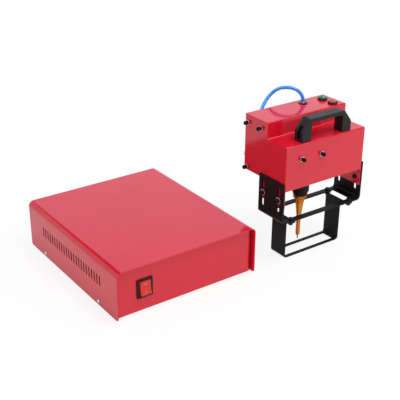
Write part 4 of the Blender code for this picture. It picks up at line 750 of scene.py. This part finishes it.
def black_plastic():
    """Moulded nylon with a leathery spark grain."""
    look = Look("black_plastic", (0.010, 0.0095, 0.0095), roughness=0.40, specular=0.22)
    look.tint(look.noise(scale=45), dark=(0.0075, 0.0072, 0.0072), light=(0.0130, 0.0122, 0.0122))
    look.gloss(look.noise(scale=700), low=0.33, high=0.46)
    look.relief(look.noise(scale=1500, detail=5), depth=0.00005)
    return look


def black_steel():
    """Blackened steel, oily and slightly uneven."""
    look = Look("black_steel", (0.008, 0.008, 0.0085), roughness=0.34, metallic=0.45, specular=0.2)
    look.tint(look.noise(scale=500), dark=(0.006, 0.006, 0.0065), light=(0.014, 0.013, 0.013))
    look.gloss(look.noise(scale=900), low=0.25, high=0.42)
    return look


def black_anodise():
    """Black anodised aluminium with turning marks."""
    look = Look("black_anodise", (0.007, 0.0068, 0.007), roughness=0.34, metallic=0.2, specular=0.15)
    look.tint(look.noise(scale=300), dark=(0.0055, 0.0053, 0.0055), light=(0.0090, 0.0086, 0.0090))
    look.gloss(look.noise(scale=400), low=0.30, high=0.44)
    look.relief(look.turning_marks(scale=900), depth=0.00002)
    return look


def gold_anodise():
    """Amber anodised aluminium with turning marks."""
    look = Look("gold_anodise", (0.62, 0.20, 0.014), roughness=0.36, metallic=0.95)
    look.tint(look.noise(scale=90), dark=(0.56, 0.165, 0.009), light=(0.68, 0.225, 0.018))
    look.gloss(look.noise(scale=500), low=0.30, high=0.44)
    look.relief(look.turning_marks(scale=700), depth=0.000025)
    return look


def bare_metal(name):
    """Bare metal with a drawn grain."""
    colour, low, high, scale, metallic = METALS[name]
    look = Look(name, colour, (low + high) / 2, metallic)
    grain = look.noise(scale, detail=4, stretch=DRAWN_OUT)
    dark, light = ([c * share for c in colour] for share in (METAL_DARK_SHARE, METAL_LIGHT_SHARE))
    look.tint(grain, dark, light)
    look.gloss(grain, low, high)
    look.relief(grain, METAL_RELIEF)
    return look


def clear_plastic(name):
    """Clear-coated moulded plastic that lets some light in."""
    dark, light, roughness, depth, coat = PLASTICS[name]
    look = Look(name, light, roughness)
    look.tint(look.noise(scale=260), dark, light)
    look.gloss(look.noise(scale=500), *(roughness * share for share in GLOSS_SHARES))
    look.surface["Subsurface Weight"].default_value = SCATTER
    look.surface["Subsurface Radius"].default_value = depth
    look.surface["Subsurface Scale"].default_value = SCATTER_SCALE
    look.surface["Coat Weight"].default_value = coat
    look.surface["Coat Roughness"].default_value = COAT_ROUGHNESS
    look.relief(look.noise(scale=900, detail=2), PLASTIC_RELIEF)
    return look


def grey_rubber():
    """Moulded rubber, dull and finely pitted."""
    look = Look("grey_rubber", (0.055, 0.055, 0.058), roughness=0.8)
    look.tint(look.noise(scale=250), dark=(0.045, 0.045, 0.048), light=(0.075, 0.075, 0.078))
    look.relief(look.noise(scale=1300, detail=5), depth=0.00008)
    return look


def board_green():
    """Solder-masked board with pale tracks."""
    look = Look("board_green", (0.01, 0.11, 0.045), roughness=0.35)
    tracks = look.nodes.new("ShaderNodeTexBrick")
    tracks.inputs["Scale"].default_value = 90
    tracks.inputs["Color1"].default_value = (0.008, 0.10, 0.04, 1)
    tracks.inputs["Color2"].default_value = (0.012, 0.13, 0.05, 1)
    tracks.inputs["Mortar"].default_value = (0.03, 0.20, 0.09, 1)
    look.links.new(look.place, tracks.inputs["Vector"])
    look.links.new(tracks.outputs["Color"], look.surface["Base Color"])
    look.relief(tracks.outputs["Fac"], depth=0.00004)
    return look


def white_ink():
    """Thin white print that the red below shows through."""
    look = Look("white_ink", (0.60, 0.30, 0.30), roughness=0.6)
    look.tint(look.noise(scale=1200), dark=(0.54, 0.25, 0.25), light=(0.66, 0.36, 0.36))
    return look


LOOKS = {
    "red_paint": red_coat("red_paint").made,
    "cover_paint_inner_shade": shaded_cover_coat().made,
    "black_coat": black_coat().made,
    "black_plastic": black_plastic().made,
    "black_steel": black_steel().made,
    "black_anodise": black_anodise().made,
    "gold_anodise": gold_anodise().made,
    "grey_rubber": grey_rubber().made,
    "board_green": board_green().made,
    "white_ink": white_ink().made,
    **{name: bare_metal(name).made for name in METALS},
    **{name: clear_plastic(name).made for name in PLASTICS},
}


# Building pieces

def ring(radius, height, sides=SIDES, flats=0, knurl=0.0):
    """A ring of points: round, with flats as on a hexagon, or finely knurled."""
    points = []
    for i in range(sides):
        angle = math.tau * i / sides
        reach = radius
        if flats:
            half = math.pi / flats
            reach = radius * math.cos(half) / math.cos(angle % (2 * half) - half)
        if knurl and i % 2:
            reach -= knurl
        points.append(Vector((reach * math.cos(angle), reach * math.sin(angle), height)))
    return points


def loft(rings, closed=False):
    """A mesh through rings of equally many points."""
    shape = bmesh.new()
    rows = [[shape.verts.new(p) for p in points] for points in rings]
    count = len(rows[0])
    pairs = list(zip(rows, rows[1:]))
    if closed:
        pairs.append((rows[-1], rows[0]))
    else:
        shape.faces.new(list(reversed(rows[0])))
        shape.faces.new(rows[-1])
    for below, above in pairs:
        for i in range(count):
            k = (i + 1) % count
            shape.faces.new((below[i], below[k], above[k], above[i]))
    bmesh.ops.recalc_face_normals(shape, faces=shape.faces)
    return shape


def lathe(outline, sides=SIDES, closed=False):
    """A mesh turned from rows of radius, height and, where it has them, flats."""
    return loft([ring(radius, height, sides, *flats) for radius, height, *flats in outline], closed)


def facing(base, direction):
    """The placement that turns +Z to a direction and moves the origin to a base point."""
    turn = Vector(direction).to_track_quat("Z", "Y").to_matrix().to_4x4()
    return Matrix.Translation(base) @ turn


def piece(name, shape, look, body, *nodes, place=None):
    """A finished piece: its mesh placed in the frame, smooth, painted and riding on its body."""
    if place is not None:
        bmesh.ops.transform(shape, matrix=place, verts=shape.verts)
    data = bpy.data.meshes.new(name)
    shape.to_mesh(data)
    shape.free()
    data.shade_smooth()
    data.set_sharp_from_angle(angle=CREASE)
    data.materials.append(LOOKS[look])
    made = add_object(name, data)
    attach(made, body)
    if nodes:
        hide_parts(*nodes)
    return made


def bar(low, high):
    """A box as a mesh, to be bevelled or joined to others."""
    shape = bmesh.new()
    low, high = Vector(low), Vector(high)
    place = Matrix.Translation((low + high) / 2) @ Matrix.Diagonal((*(high - low), 1))
    bmesh.ops.create_cube(shape, size=1, matrix=place)
    return shape


def joined(*shapes):
    """Several meshes as one."""
    whole = bmesh.new()
    for shape in shapes:
        data = bpy.data.meshes.new("part")
        shape.to_mesh(data)
        shape.free()
        whole.from_mesh(data)
        bpy.data.meshes.remove(data)
    return whole


# Modifiers

def edge_group(name):
    """A new modifier group, with its input and its output."""
    group = bpy.data.node_groups.new(name, "GeometryNodeTree")
    for way in ("INPUT", "OUTPUT"):
        group.interface.new_socket("Geometry", in_out=way, socket_type="NodeSocketGeometry")
    return group, group.nodes.new("NodeGroupInput"), group.nodes.new("NodeGroupOutput")


def compared(group, value, operation, limit):
    """Whether a number is above or below a limit."""
    test = group.nodes.new("FunctionNodeCompare")
    test.data_type = "FLOAT"
    test.operation = operation
    test.inputs["B"].default_value = limit
    group.links.new(value, test.inputs["A"])
    return test.outputs[0]


def logic(group, operation, *values):
    """True or false from other such values."""
    made = group.nodes.new("FunctionNodeBooleanMath")
    made.operation = operation
    for target, value in zip(made.inputs, values):
        group.links.new(value, target)
    return made.outputs[0]


def crease_group():
    """A modifier group that marks every edge above the crease angle as sharp."""
    group, inward, outward = edge_group("creases")
    angle = group.nodes.new("GeometryNodeInputMeshEdgeAngle")
    flat = compared(group, angle.outputs["Unsigned Angle"], "LESS_THAN", CREASE)
    smooth = group.nodes.new("GeometryNodeSetShadeSmooth")
    smooth.domain = "EDGE"
    group.links.new(inward.outputs[0], smooth.inputs["Geometry"])
    group.links.new(flat, smooth.inputs["Shade Smooth"])
    group.links.new(smooth.outputs[0], outward.inputs[0])
    return group


def fold_group():
    """A modifier group that marks the edges where two broad outer faces meet."""
    group, inward, outward = edge_group("folds")
    area = group.nodes.new("GeometryNodeInputMeshFaceArea")
    broad = compared(group, area.outputs[0], "GREATER_THAN", BROAD_FACE)
    on_edge = group.nodes.new("GeometryNodeFieldOnDomain")
    on_edge.data_type = "BOOLEAN"
    on_edge.domain = "EDGE"
    group.links.new(logic(group, "NOT", broad), on_edge.inputs[0])
    both_broad = logic(group, "NOT", on_edge.outputs[0])
    angle = group.nodes.new("GeometryNodeInputMeshEdgeAngle")
    convex = compared(group, angle.outputs["Signed Angle"], "GREATER_THAN", EDGE_ANGLE)
    store = group.nodes.new("GeometryNodeStoreNamedAttribute")
    store.data_type = "FLOAT"
    store.domain = "EDGE"
    store.inputs["Name"].default_value = "bevel_weight_edge"
    group.links.new(inward.outputs[0], store.inputs["Geometry"])
    group.links.new(logic(group, "AND", both_broad, convex), store.inputs["Value"])
    group.links.new(store.outputs[0], outward.inputs[0])
    return group


CREASES = crease_group()


def soften(made, width):
    """Narrow rounded edges that still shade crisply."""
    bevel = made.modifiers.new("edges", "BEVEL")
    bevel.width = width
    bevel.segments = EDGE_SEGMENTS
    bevel.limit_method = "ANGLE"
    bevel.angle_limit = EDGE_ANGLE
    creases = made.modifiers.new("creases", "NODES")
    creases.node_group = CREASES
    even = made.modifiers.new("even", "WEIGHTED_NORMAL")
    even.weight = EVEN_WEIGHT
    even.keep_sharp = True


def paint(node):
    """A carried-over node's materials by its slots, and smooth shading."""
    made = NODES[node]
    for slot in made.material_slots:
        slot.material = LOOKS[slot.material.name.split(".")[0]]
    for face in made.data.polygons:
        face.use_smooth = True
    return made


def dress(node, width):
    """A painted node with its faces merged and its edges softened."""
    made = paint(node)
    weld = made.modifiers.new("weld", "WELD")
    weld.merge_threshold = WELD
    merge = made.modifiers.new("merge", "DECIMATE")
    merge.decimate_type = "DISSOLVE"
    merge.angle_limit = FLAT_ANGLE
    if node == FOLDED:
        marks = made.modifiers.new("marks", "NODES")
        marks.node_group = fold_group()
        fold = made.modifiers.new("folds", "BEVEL")
        fold.width = FOLD_RADIUS
        fold.segments = FOLD_SEGMENTS
        fold.limit_method = "WEIGHT"
    soften(made, width)


# Air tube

def make_tube():
    points = [HEAD + Vector(p) for p in (TUBE_START, *TUBE_ROUTE, TUBE_END)]
    curve = bpy.data.curves.new("blue_air_tube", "CURVE")
    curve.dimensions = "3D"
    curve.bevel_depth = TUBE_RADIUS
    curve.bevel_resolution = TUBE_ROUNDNESS
    curve.use_fill_caps = True
    spline = curve.splines.new("NURBS")
    spline.points.add(len(points) - 1)
    for target, point in zip(spline.points, points):
        target.co = (*point, 1)
    spline.order_u = TUBE_ORDER
    spline.use_endpoint_u = True
    spline.resolution_u = TUBE_STEPS
    curve.materials.append(LOOKS["blue_tube"])
    tube = add_object("blue_air_tube", curve)
    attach(tube, "head")
    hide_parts("air_tube")


# Screws

def socket_screw(kind, number, direction, radius, height, washer, shank, nut=None):
    """A socket-head cap screw with its plain washer, in place of a node along an axis."""
    node = f"{kind}_screw_{number}"
    low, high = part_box(node)
    axis = Vector(direction)
    tail = sum(abs(a) * (h - l) for a, h, l in zip(axis, high, low))
    seat = GAP + WASHER_SHEET
    top = seat + height
    place = facing(middle_of(node) + axis * (tail / 2 - top), axis)
    deep = top - tail
    start = deep * SHANK_START_SHARE
    rings = [ring(shank * SHANK_TIP_SHARE, deep)]
    if nut:
        across, thick = nut
        start = deep + thick
        rings += [
            ring(across * NUT_FACE_SHARE, deep, flats=HEX),
            ring(across, deep + across * NUT_EDGE_SHARE, flats=HEX),
            ring(across, start, flats=HEX),
            ring(shank, start),
        ]
        start += GAP
    rings += [ring(shank, start), ring(shank, seat)]
    rings += [ring(radius * r, seat + height * h, knurl=KNURL * k) for r, h, k in CAP_SHARES]
    hexagon = radius * HEXAGON_SHARE
    rings += [ring(hexagon * r, seat + height * h, flats=flats) for r, h, flats in HEXAGON_SHARES]
    name = f"{kind}_cap_{number}"
    piece(name, loft(rings), "black_steel", "head", node, place=place)
    lip = WASHER_SHEET * WASHER_LIP_SHARE
    bore = shank * WASHER_BORE_SHARE
    outline = (
        (bore, GAP),
        (washer - lip, GAP),
        (washer, GAP + lip),
        (washer, seat - lip),
        (washer - lip, seat),
        (bore, seat),
    )
    piece(f"{name}_washer", lathe(outline, closed=True), "nickel", "head", node, place=place)


def make_socket_screws():
    """The housing's side and front screws, and the clamp screws with their nuts."""
    plain = (CAP_RADIUS, CAP_HEIGHT, WASHER_RADIUS, SHANK_RADIUS)
    nut = (CLAMP_NUT_RADIUS, CLAMP_NUT)
    clamp = (CLAMP_RADIUS, CLAMP_HEIGHT, CLAMP_WASHER_RADIUS, CLAMP_SHANK_RADIUS, nut)
    rows = (
        ("side", (LEFT, LEFT, LEFT, RIGHT, RIGHT, RIGHT), plain),
        ("front", (FRONT, FRONT), plain),
        ("clamp", (LEFT, LEFT, RIGHT, RIGHT), clamp),
    )
    for kind, directions, sizes in rows:
        for number, direction in enumerate(directions, 1):
            socket_screw(kind, number, direction, *sizes)


def cross_ring(radius, height, reach):
    """A ring of a pan head, sunk where the cross recess runs."""
    points = ring(radius, height, FINE_SIDES)
    for point in points:
        across = min(abs(point.x), abs(point.y))
        if radius < reach and across < CROSS_HALF:
            point.z -= CROSS_DEPTH * (1 - CROSS_SLOPE_SHARE * (radius / reach) ** 2)
    return points


def make_cover_screws():
    """Nickel pan-head screws with a cross recess."""
    box_middle = (COVER_LOW.x + COVER_HIGH.x) / 2
    for number in range(1, CORNERS + 1):
        node = f"cover_screw_{number}"
        low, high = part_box(node)
        middle = middle_of(node)
        axis = Vector(LEFT if middle.x < box_middle else RIGHT)
        length = high.x - low.x
        out = GAP + PAN_HEIGHT
        deep = out - length
        rings = [
            ring(radius, height, FINE_SIDES)
            for radius, height in (
                (SHANK_RADIUS * THREAD_TIP_SHARE, deep),
                (SHANK_RADIUS, deep * THREAD_START_SHARE),
                (SHANK_RADIUS, GAP),
                (PAN_RADIUS * PAN_FOOT_SHARE, GAP),
                (PAN_RADIUS, GAP + PAN_HEIGHT * PAN_EDGE_SHARE),
            )
        ]
        for turn in DOME_TURNS:
            radius = PAN_RADIUS * max(math.cos(turn), PAN_CROWN_SHARE)
            rise = PAN_EDGE_SHARE + (1 - PAN_EDGE_SHARE) * math.sin(turn)
            rings.append(cross_ring(radius, GAP + PAN_HEIGHT * rise, PAN_RADIUS * CROSS_SHARE))
        place = facing(middle + axis * (length / 2 - out), axis)
        piece(f"cover_pan_{number}", loft(rings), "nickel", "controller", node, place=place)


def make_frame_bolts():
    """Hex bolts down through the rails, with flanged nuts under the lower frame's ears."""
    for number in range(1, CORNERS + 1):
        node = f"frame_bolt_{number}"
        low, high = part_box(node)
        middle = middle_of(node)
        total = high.z - low.z
        head = total - BOLT_HEAD
        thread = SHANK_RADIUS * THREAD_SHARE
        nut_face, nut_flat = (NUT_RADIUS * share for share in NUT_SHARES)
        face, rim, dish, centre = (BOLT_HEAD_RADIUS * share for share in BOLT_HEAD_SHARES)
        outline = (
            (SHANK_RADIUS * THREAD_TIP_SHARE, 0),
            (thread, THREAD_EDGE),
            (thread, NUT_LOW),
            (nut_face, NUT_LOW),
            (nut_flat, NUT_EDGE, HEX),
            (nut_flat, FLANGE_START, HEX),
            (NUT_RADIUS, FLANGE_LOW),
            (NUT_RADIUS, FLANGE_TOP),
            (SHANK_RADIUS, NUT_TOP),
            (SHANK_RADIUS, head),
            (BOLT_HEAD_RADIUS, head, HEX),
            (BOLT_HEAD_RADIUS, total - BOLT_HEAD_EDGE, HEX),
            (face, total),
            (rim, total),
            (dish, total - BOLT_HEAD_DISH),
            (centre, total - BOLT_HEAD_DISH),
        )
        place = Matrix.Translation((middle.x, middle.y, low.z))
        piece(f"hex_bolt_{number}", lathe(outline), "black_steel", "stand", node, place=place)


# Power switch

def fall(share, start, drop):
    """How far a face falls away beyond some share of the way to its edge."""
    return drop * max(0.0, (abs(share) - start) / (1 - start)) ** 2


def rocker_face(share):
    """How far the rocker's face stands out, from the bottom edge (-1) to the top edge (+1)."""
    valley = ROCKER_VALLEY * (1 - abs(share) ** ROCKER_CURVE)
    return ROCKER_DEPTH - valley - fall(share, LIP_SHARE, LIP_DROP)


def make_rocker():
    """The rocker with its two hollow halves and rounded edges."""
    shape = bmesh.new()
    grid = []
    for i in range(2 * ROCKER_ROWS + 1):
        row = i / ROCKER_ROWS - 1
        line = []
        for column in ROCKER_COLUMN_SHARES:
            y = fall(column, SIDE_SHARE, SIDE_DROP) - rocker_face(row)
            line.append(shape.verts.new((column * ROCKER_HALF_X, y, row * ROCKER_HALF_Z)))
        grid.append(line)
    for below, above in zip(grid, grid[1:]):
        for i in range(len(below) - 1):
            shape.faces.new((below[i], below[i + 1], above[i + 1], above[i]))
    border = [e for e in shape.edges if e.is_boundary]
    skirt = bmesh.ops.extrude_edge_only(shape, edges=border)["geom"]
    for vert in (v for v in skirt if isinstance(v, bmesh.types.BMVert)):
        vert.co.y = ROCKER_BACK
    bmesh.ops.holes_fill(shape, edges=[e for e in shape.edges if e.is_boundary])
    bmesh.ops.recalc_face_normals(shape, faces=shape.faces)
    spot = Vector((SWITCH.x, BOX.y + SWITCH_SETBACK, SWITCH.z))
    place = Matrix.Translation(spot) @ Matrix.Rotation(-ROCKER_TILT, 4, "X")
    piece("rocker_lens", shape, "red_lens", "rocker", "switch_rocker", place=place)
    make_marks(place)


def printed(shape, x, z):
    """A point of print, just in front of the rocker's face."""
    return shape.verts.new((x, -(rocker_face(z / ROCKER_HALF_Z) + MARK_OUT), z))


def make_marks(place):
    """The ring above and the bar below, printed on the rocker."""
    shape = bmesh.new()
    rings = []
    for radius in (MARK_RADIUS - 2 * MARK_LINE, MARK_RADIUS):
        points = ring(radius, 0, MARK_SIDES)
        rings.append([printed(shape, point.x, MARK_HEIGHT + point.y) for point in points])
    inner, outer = rings
    for i in range(MARK_SIDES):
        k = (i + 1) % MARK_SIDES
        shape.faces.new((inner[i], outer[i], outer[k], inner[k]))
    rows = []
    for i in range(BAR_ROWS + 1):
        z = -MARK_HEIGHT - BAR_HALF + 2 * BAR_HALF * i / BAR_ROWS
        rows.append([printed(shape, x, z) for x in (-MARK_LINE, MARK_LINE)])
    for below, above in zip(rows, rows[1:]):
        shape.faces.new((below[0], below[1], above[1], above[0]))
    bmesh.ops.recalc_face_normals(shape, faces=shape.faces)
    piece("rocker_marks", shape, "white_ink", "rocker", place=place)


# Sockets on the backs

def socket_insert(name, node, body):
    """The insulator with its pins, down in a round socket's mouth."""
    middle = middle_of(node)
    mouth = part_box(node)[1].y
    place = facing(Vector((middle.x, mouth - MOUTH_DEPTH, middle.z)), BACK)
    radius = MOUTH_RADIUS - FIT
    edge, centre = (radius * share for share in INSERT_SHARES)
    disc = lathe(((radius, 0), (radius, INSERT_EDGE), (edge, INSERT_TOP), (centre, INSERT_TOP)))
    piece(f"{name}_insert", disc, "black_plastic", body, place=place)
    pins = []
    radii = (PIN_RADIUS, PIN_RADIUS, PIN_RADIUS * PIN_TIP_SHARE)
    for i in range(PIN_COUNT):
        angle = math.tau * (i + 0.5) / PIN_COUNT
        pin = lathe(zip(radii, PIN_HEIGHTS), PIN_SIDES)
        spot = Vector((PIN_RING * math.cos(angle), PIN_RING * math.sin(angle), 0))
        bmesh.ops.translate(pin, vec=spot, verts=pin.verts)
        pins.append(pin)
    piece(f"{name}_pins", joined(*pins), "brass", body, place=place)


def make_inlet_pins():
    """Bright sleeves over the mains inlet's three pins."""
    middle = middle_of("mains_inlet")
    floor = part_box("mains_inlet")[1].y - INLET_DEPTH
    length = Vector((0, SLEEVE_LENGTH, 0))
    shapes = []
    for x, z in INLET_PINS:
        foot = Vector((middle.x + x, floor, middle.z + z))
        shapes.append(bar(foot - SLEEVE_HALF, foot + SLEEVE_HALF + length))
    pins = piece("inlet_pin_sleeves", joined(*shapes), "nickel", "controller")
    soften(pins, SMALL_EDGE)


def make_data_tongue():
    """The contact tongue in the data socket's mouth."""
    middle = middle_of("data_socket")
    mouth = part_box("data_socket")[1].y
    back, front = (Vector((middle.x, mouth - depth, middle.z)) for depth in TONGUE_DEPTHS)
    tongue = bar(back - TONGUE_HALF, front + TONGUE_HALF)
    soften(piece("data_tongue", tongue, "black_plastic", "controller"), SMALL_EDGE)


# Marking head

def pocket_outline():
    """A slot with round ends, upright, across the handle and over its foot."""
    rise = POCKET_HIGH - POCKET_LOW - 2 * POCKET_RADIUS
    outline = []
    for i in range(SIDES):
        angle = math.tau * i / SIDES
        upper = rise if math.sin(angle) > 0 else 0
        height = POCKET_LOW + POCKET_RADIUS + upper + POCKET_RADIUS * math.sin(angle)
        outline.append((POCKET_RADIUS * math.cos(angle), height))
    return outline


def cut_handle_pockets():
    """The screw pockets in the handle's outer ends, cut by hidden shapes."""
    middle_y = (HANDLE_LOW.y + HANDLE_HIGH.y) / 2
    steps = ((-POCKET_OVERRUN, 1), (POCKET_DEPTH - POCKET_EDGE, 1), (POCKET_DEPTH, POCKET_END_SHARE))
    shapes = []
    for x, sign in ((HANDLE_LOW.x, 1), (HANDLE_HIGH.x, -1)):
        rings = []
        for inwards, scale in steps:
            rings.append(
                [
                    Vector((x + sign * inwards, middle_y + across * scale, HANDLE_LOW.z + height))
                    for across, height in pocket_outline()
                ]
            )
        shapes.append(loft(rings))
    data = bpy.data.meshes.new("pocket_cutter")
    whole = joined(*shapes)
    whole.to_mesh(data)
    whole.free()
    cutter = add_object("pocket_cutter", data)
    cutter.hide_render = True
    cutter.hide_viewport = True
    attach(cutter, "head")
    hollow = NODES["carry_handle"].modifiers.new("pockets", "BOOLEAN")
    hollow.operation = "DIFFERENCE"
    hollow.solver = "EXACT"
    hollow.object = cutter


def make_top_fitting():
    """Brass hexagon and body, the blue release collar round the tube, and the ring below."""
    place = Matrix.Translation(FITTING)
    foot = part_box("top_fitting")[0].z - TOP
    body = ((STEM_TIP_RADIUS, foot), (STEM_RADIUS, foot + STEM_EDGE), *FITTING_BODY)
    piece("fitting_brass", lathe(body), "brass", "head", "top_fitting", place=place)
    collar = lathe(TOP_COLLAR, closed=True)
    piece("fitting_collar", collar, "collar_blue", "head", "top_fitting", place=place)
    base = lathe(FITTING_RING, closed=True)
    piece("fitting_ring", base, "black_plastic", "head", "fitting_grommet", place=place)


def make_elbow_collar():
    """The blue release collar on the rear elbow, round the tube's other end."""
    collar = lathe(ELBOW_COLLAR, closed=True)
    piece("elbow_collar", collar, "collar_blue", "head", place=Matrix.Translation(ELBOW))


def domed_outline():
    """The green cap's outline: a straight skirt and a full dome."""
    outline = list(GREEN_SKIRT)
    for turn in DOME_TURNS:
        reach = max(DOME_RADIUS * math.cos(turn) ** DOME_FULLNESS, DOME_TIP)
        outline.append((reach, DOME_FOOT + DOME_HEIGHT * math.sin(turn)))
    return outline


def make_button(name, spot, cap_look, cap_outline):
    """A push button's ring with its threaded body, and its cap."""
    place = Matrix.Translation(spot)
    bezel = lathe(BUTTON_RING, closed=True)
    piece(f"{name}_ring", bezel, "black_plastic", "head", f"{name}_bezel", place=place)
    cap = lathe(cap_outline)
    piece(f"{name}_cap", cap, cap_look, f"{name}_push", f"{name}_button", place=place)


# Stylus

def make_pen():
    """The amber pen: flange, necked cone, waist ring, barrel and nose, with its retaining screw."""
    sleeve = lathe(PEN, FINE_SIDES)
    place = Matrix.Translation(STYLUS)
    piece("pen_sleeve", sleeve, "gold_anodise", "stylus", "pen_body", place=place)
    place = facing(GRUB_PLACE, GRUB_DIRECTION)
    piece("pen_grub", lathe(GRUB, SMALL_SIDES), "black_steel", "stylus", place=place)


def make_holder():
    """The turned holder that the pen screws into, and its clamp block on the Y rail."""
    place = Matrix.Translation(STYLUS)
    cup = lathe(HOLDER_CUP, FINE_SIDES)
    piece("holder_cup", cup, "black_anodise", "stylus", "stylus_holder", place=place)
    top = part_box("stylus_holder")[1].z
    walls = [
        (-BLOCK_HALF_X, BLOCK_HALF_X, BLOCK_HALF_Y, BLOCK_LOW, SADDLE_TOP),
        (-BLOCK_HALF_X, -CHEEK_INSIDE, BLOCK_HALF_Y, CHEEK_LOW, top),
        (CHEEK_INSIDE, BLOCK_HALF_X, BLOCK_HALF_Y, CHEEK_LOW, top),
    ]
    walls += [(x, to_x, LUG_HALF_Y, z, to_z) for x, to_x, z, to_z in LUG_WALLS]
    shapes = [bar((x, -half_y, z), (to_x, half_y, to_z)) for x, to_x, half_y, z, to_z in walls]
    block = joined(*shapes)
    made = piece("holder_block", block, "black_anodise", "stylus", "stylus_holder", place=place)
    soften(made, BLOCK_EDGE)


def make_needle():
    """The carbide needle with its ground point."""
    place = Matrix.Translation(STYLUS)
    piece("needle_pin", lathe(NEEDLE), "carbide", "needle", "stylus_needle", place=place)


make_camera()
make_tube()
make_world()
make_floor()
make_key()
for width, nodes in SOFT_EDGES:
    for node in nodes:
        dress(node, width)
# The cover's red paint, with painted shade on its inner side and in its slots
NODES["controller_cover"].material_slots[0].material = LOOKS["cover_paint_inner_shade"]
paint("needle_spring")
make_socket_screws()
make_cover_screws()
make_frame_bolts()
make_rocker()
socket_insert("head_cable", "head_cable_socket", "controller")
socket_insert("signal", "signal_socket", "head")
make_inlet_pins()
make_data_tongue()
cut_handle_pockets()
make_top_fitting()
make_button("start", START, "green_cap", domed_outline())
make_button("stop", STOP, "red_cap", RED_CAP)
make_elbow_collar()
make_pen()
make_holder()
make_needle()

bpy.context.scene.view_settings.view_transform = "Standard"
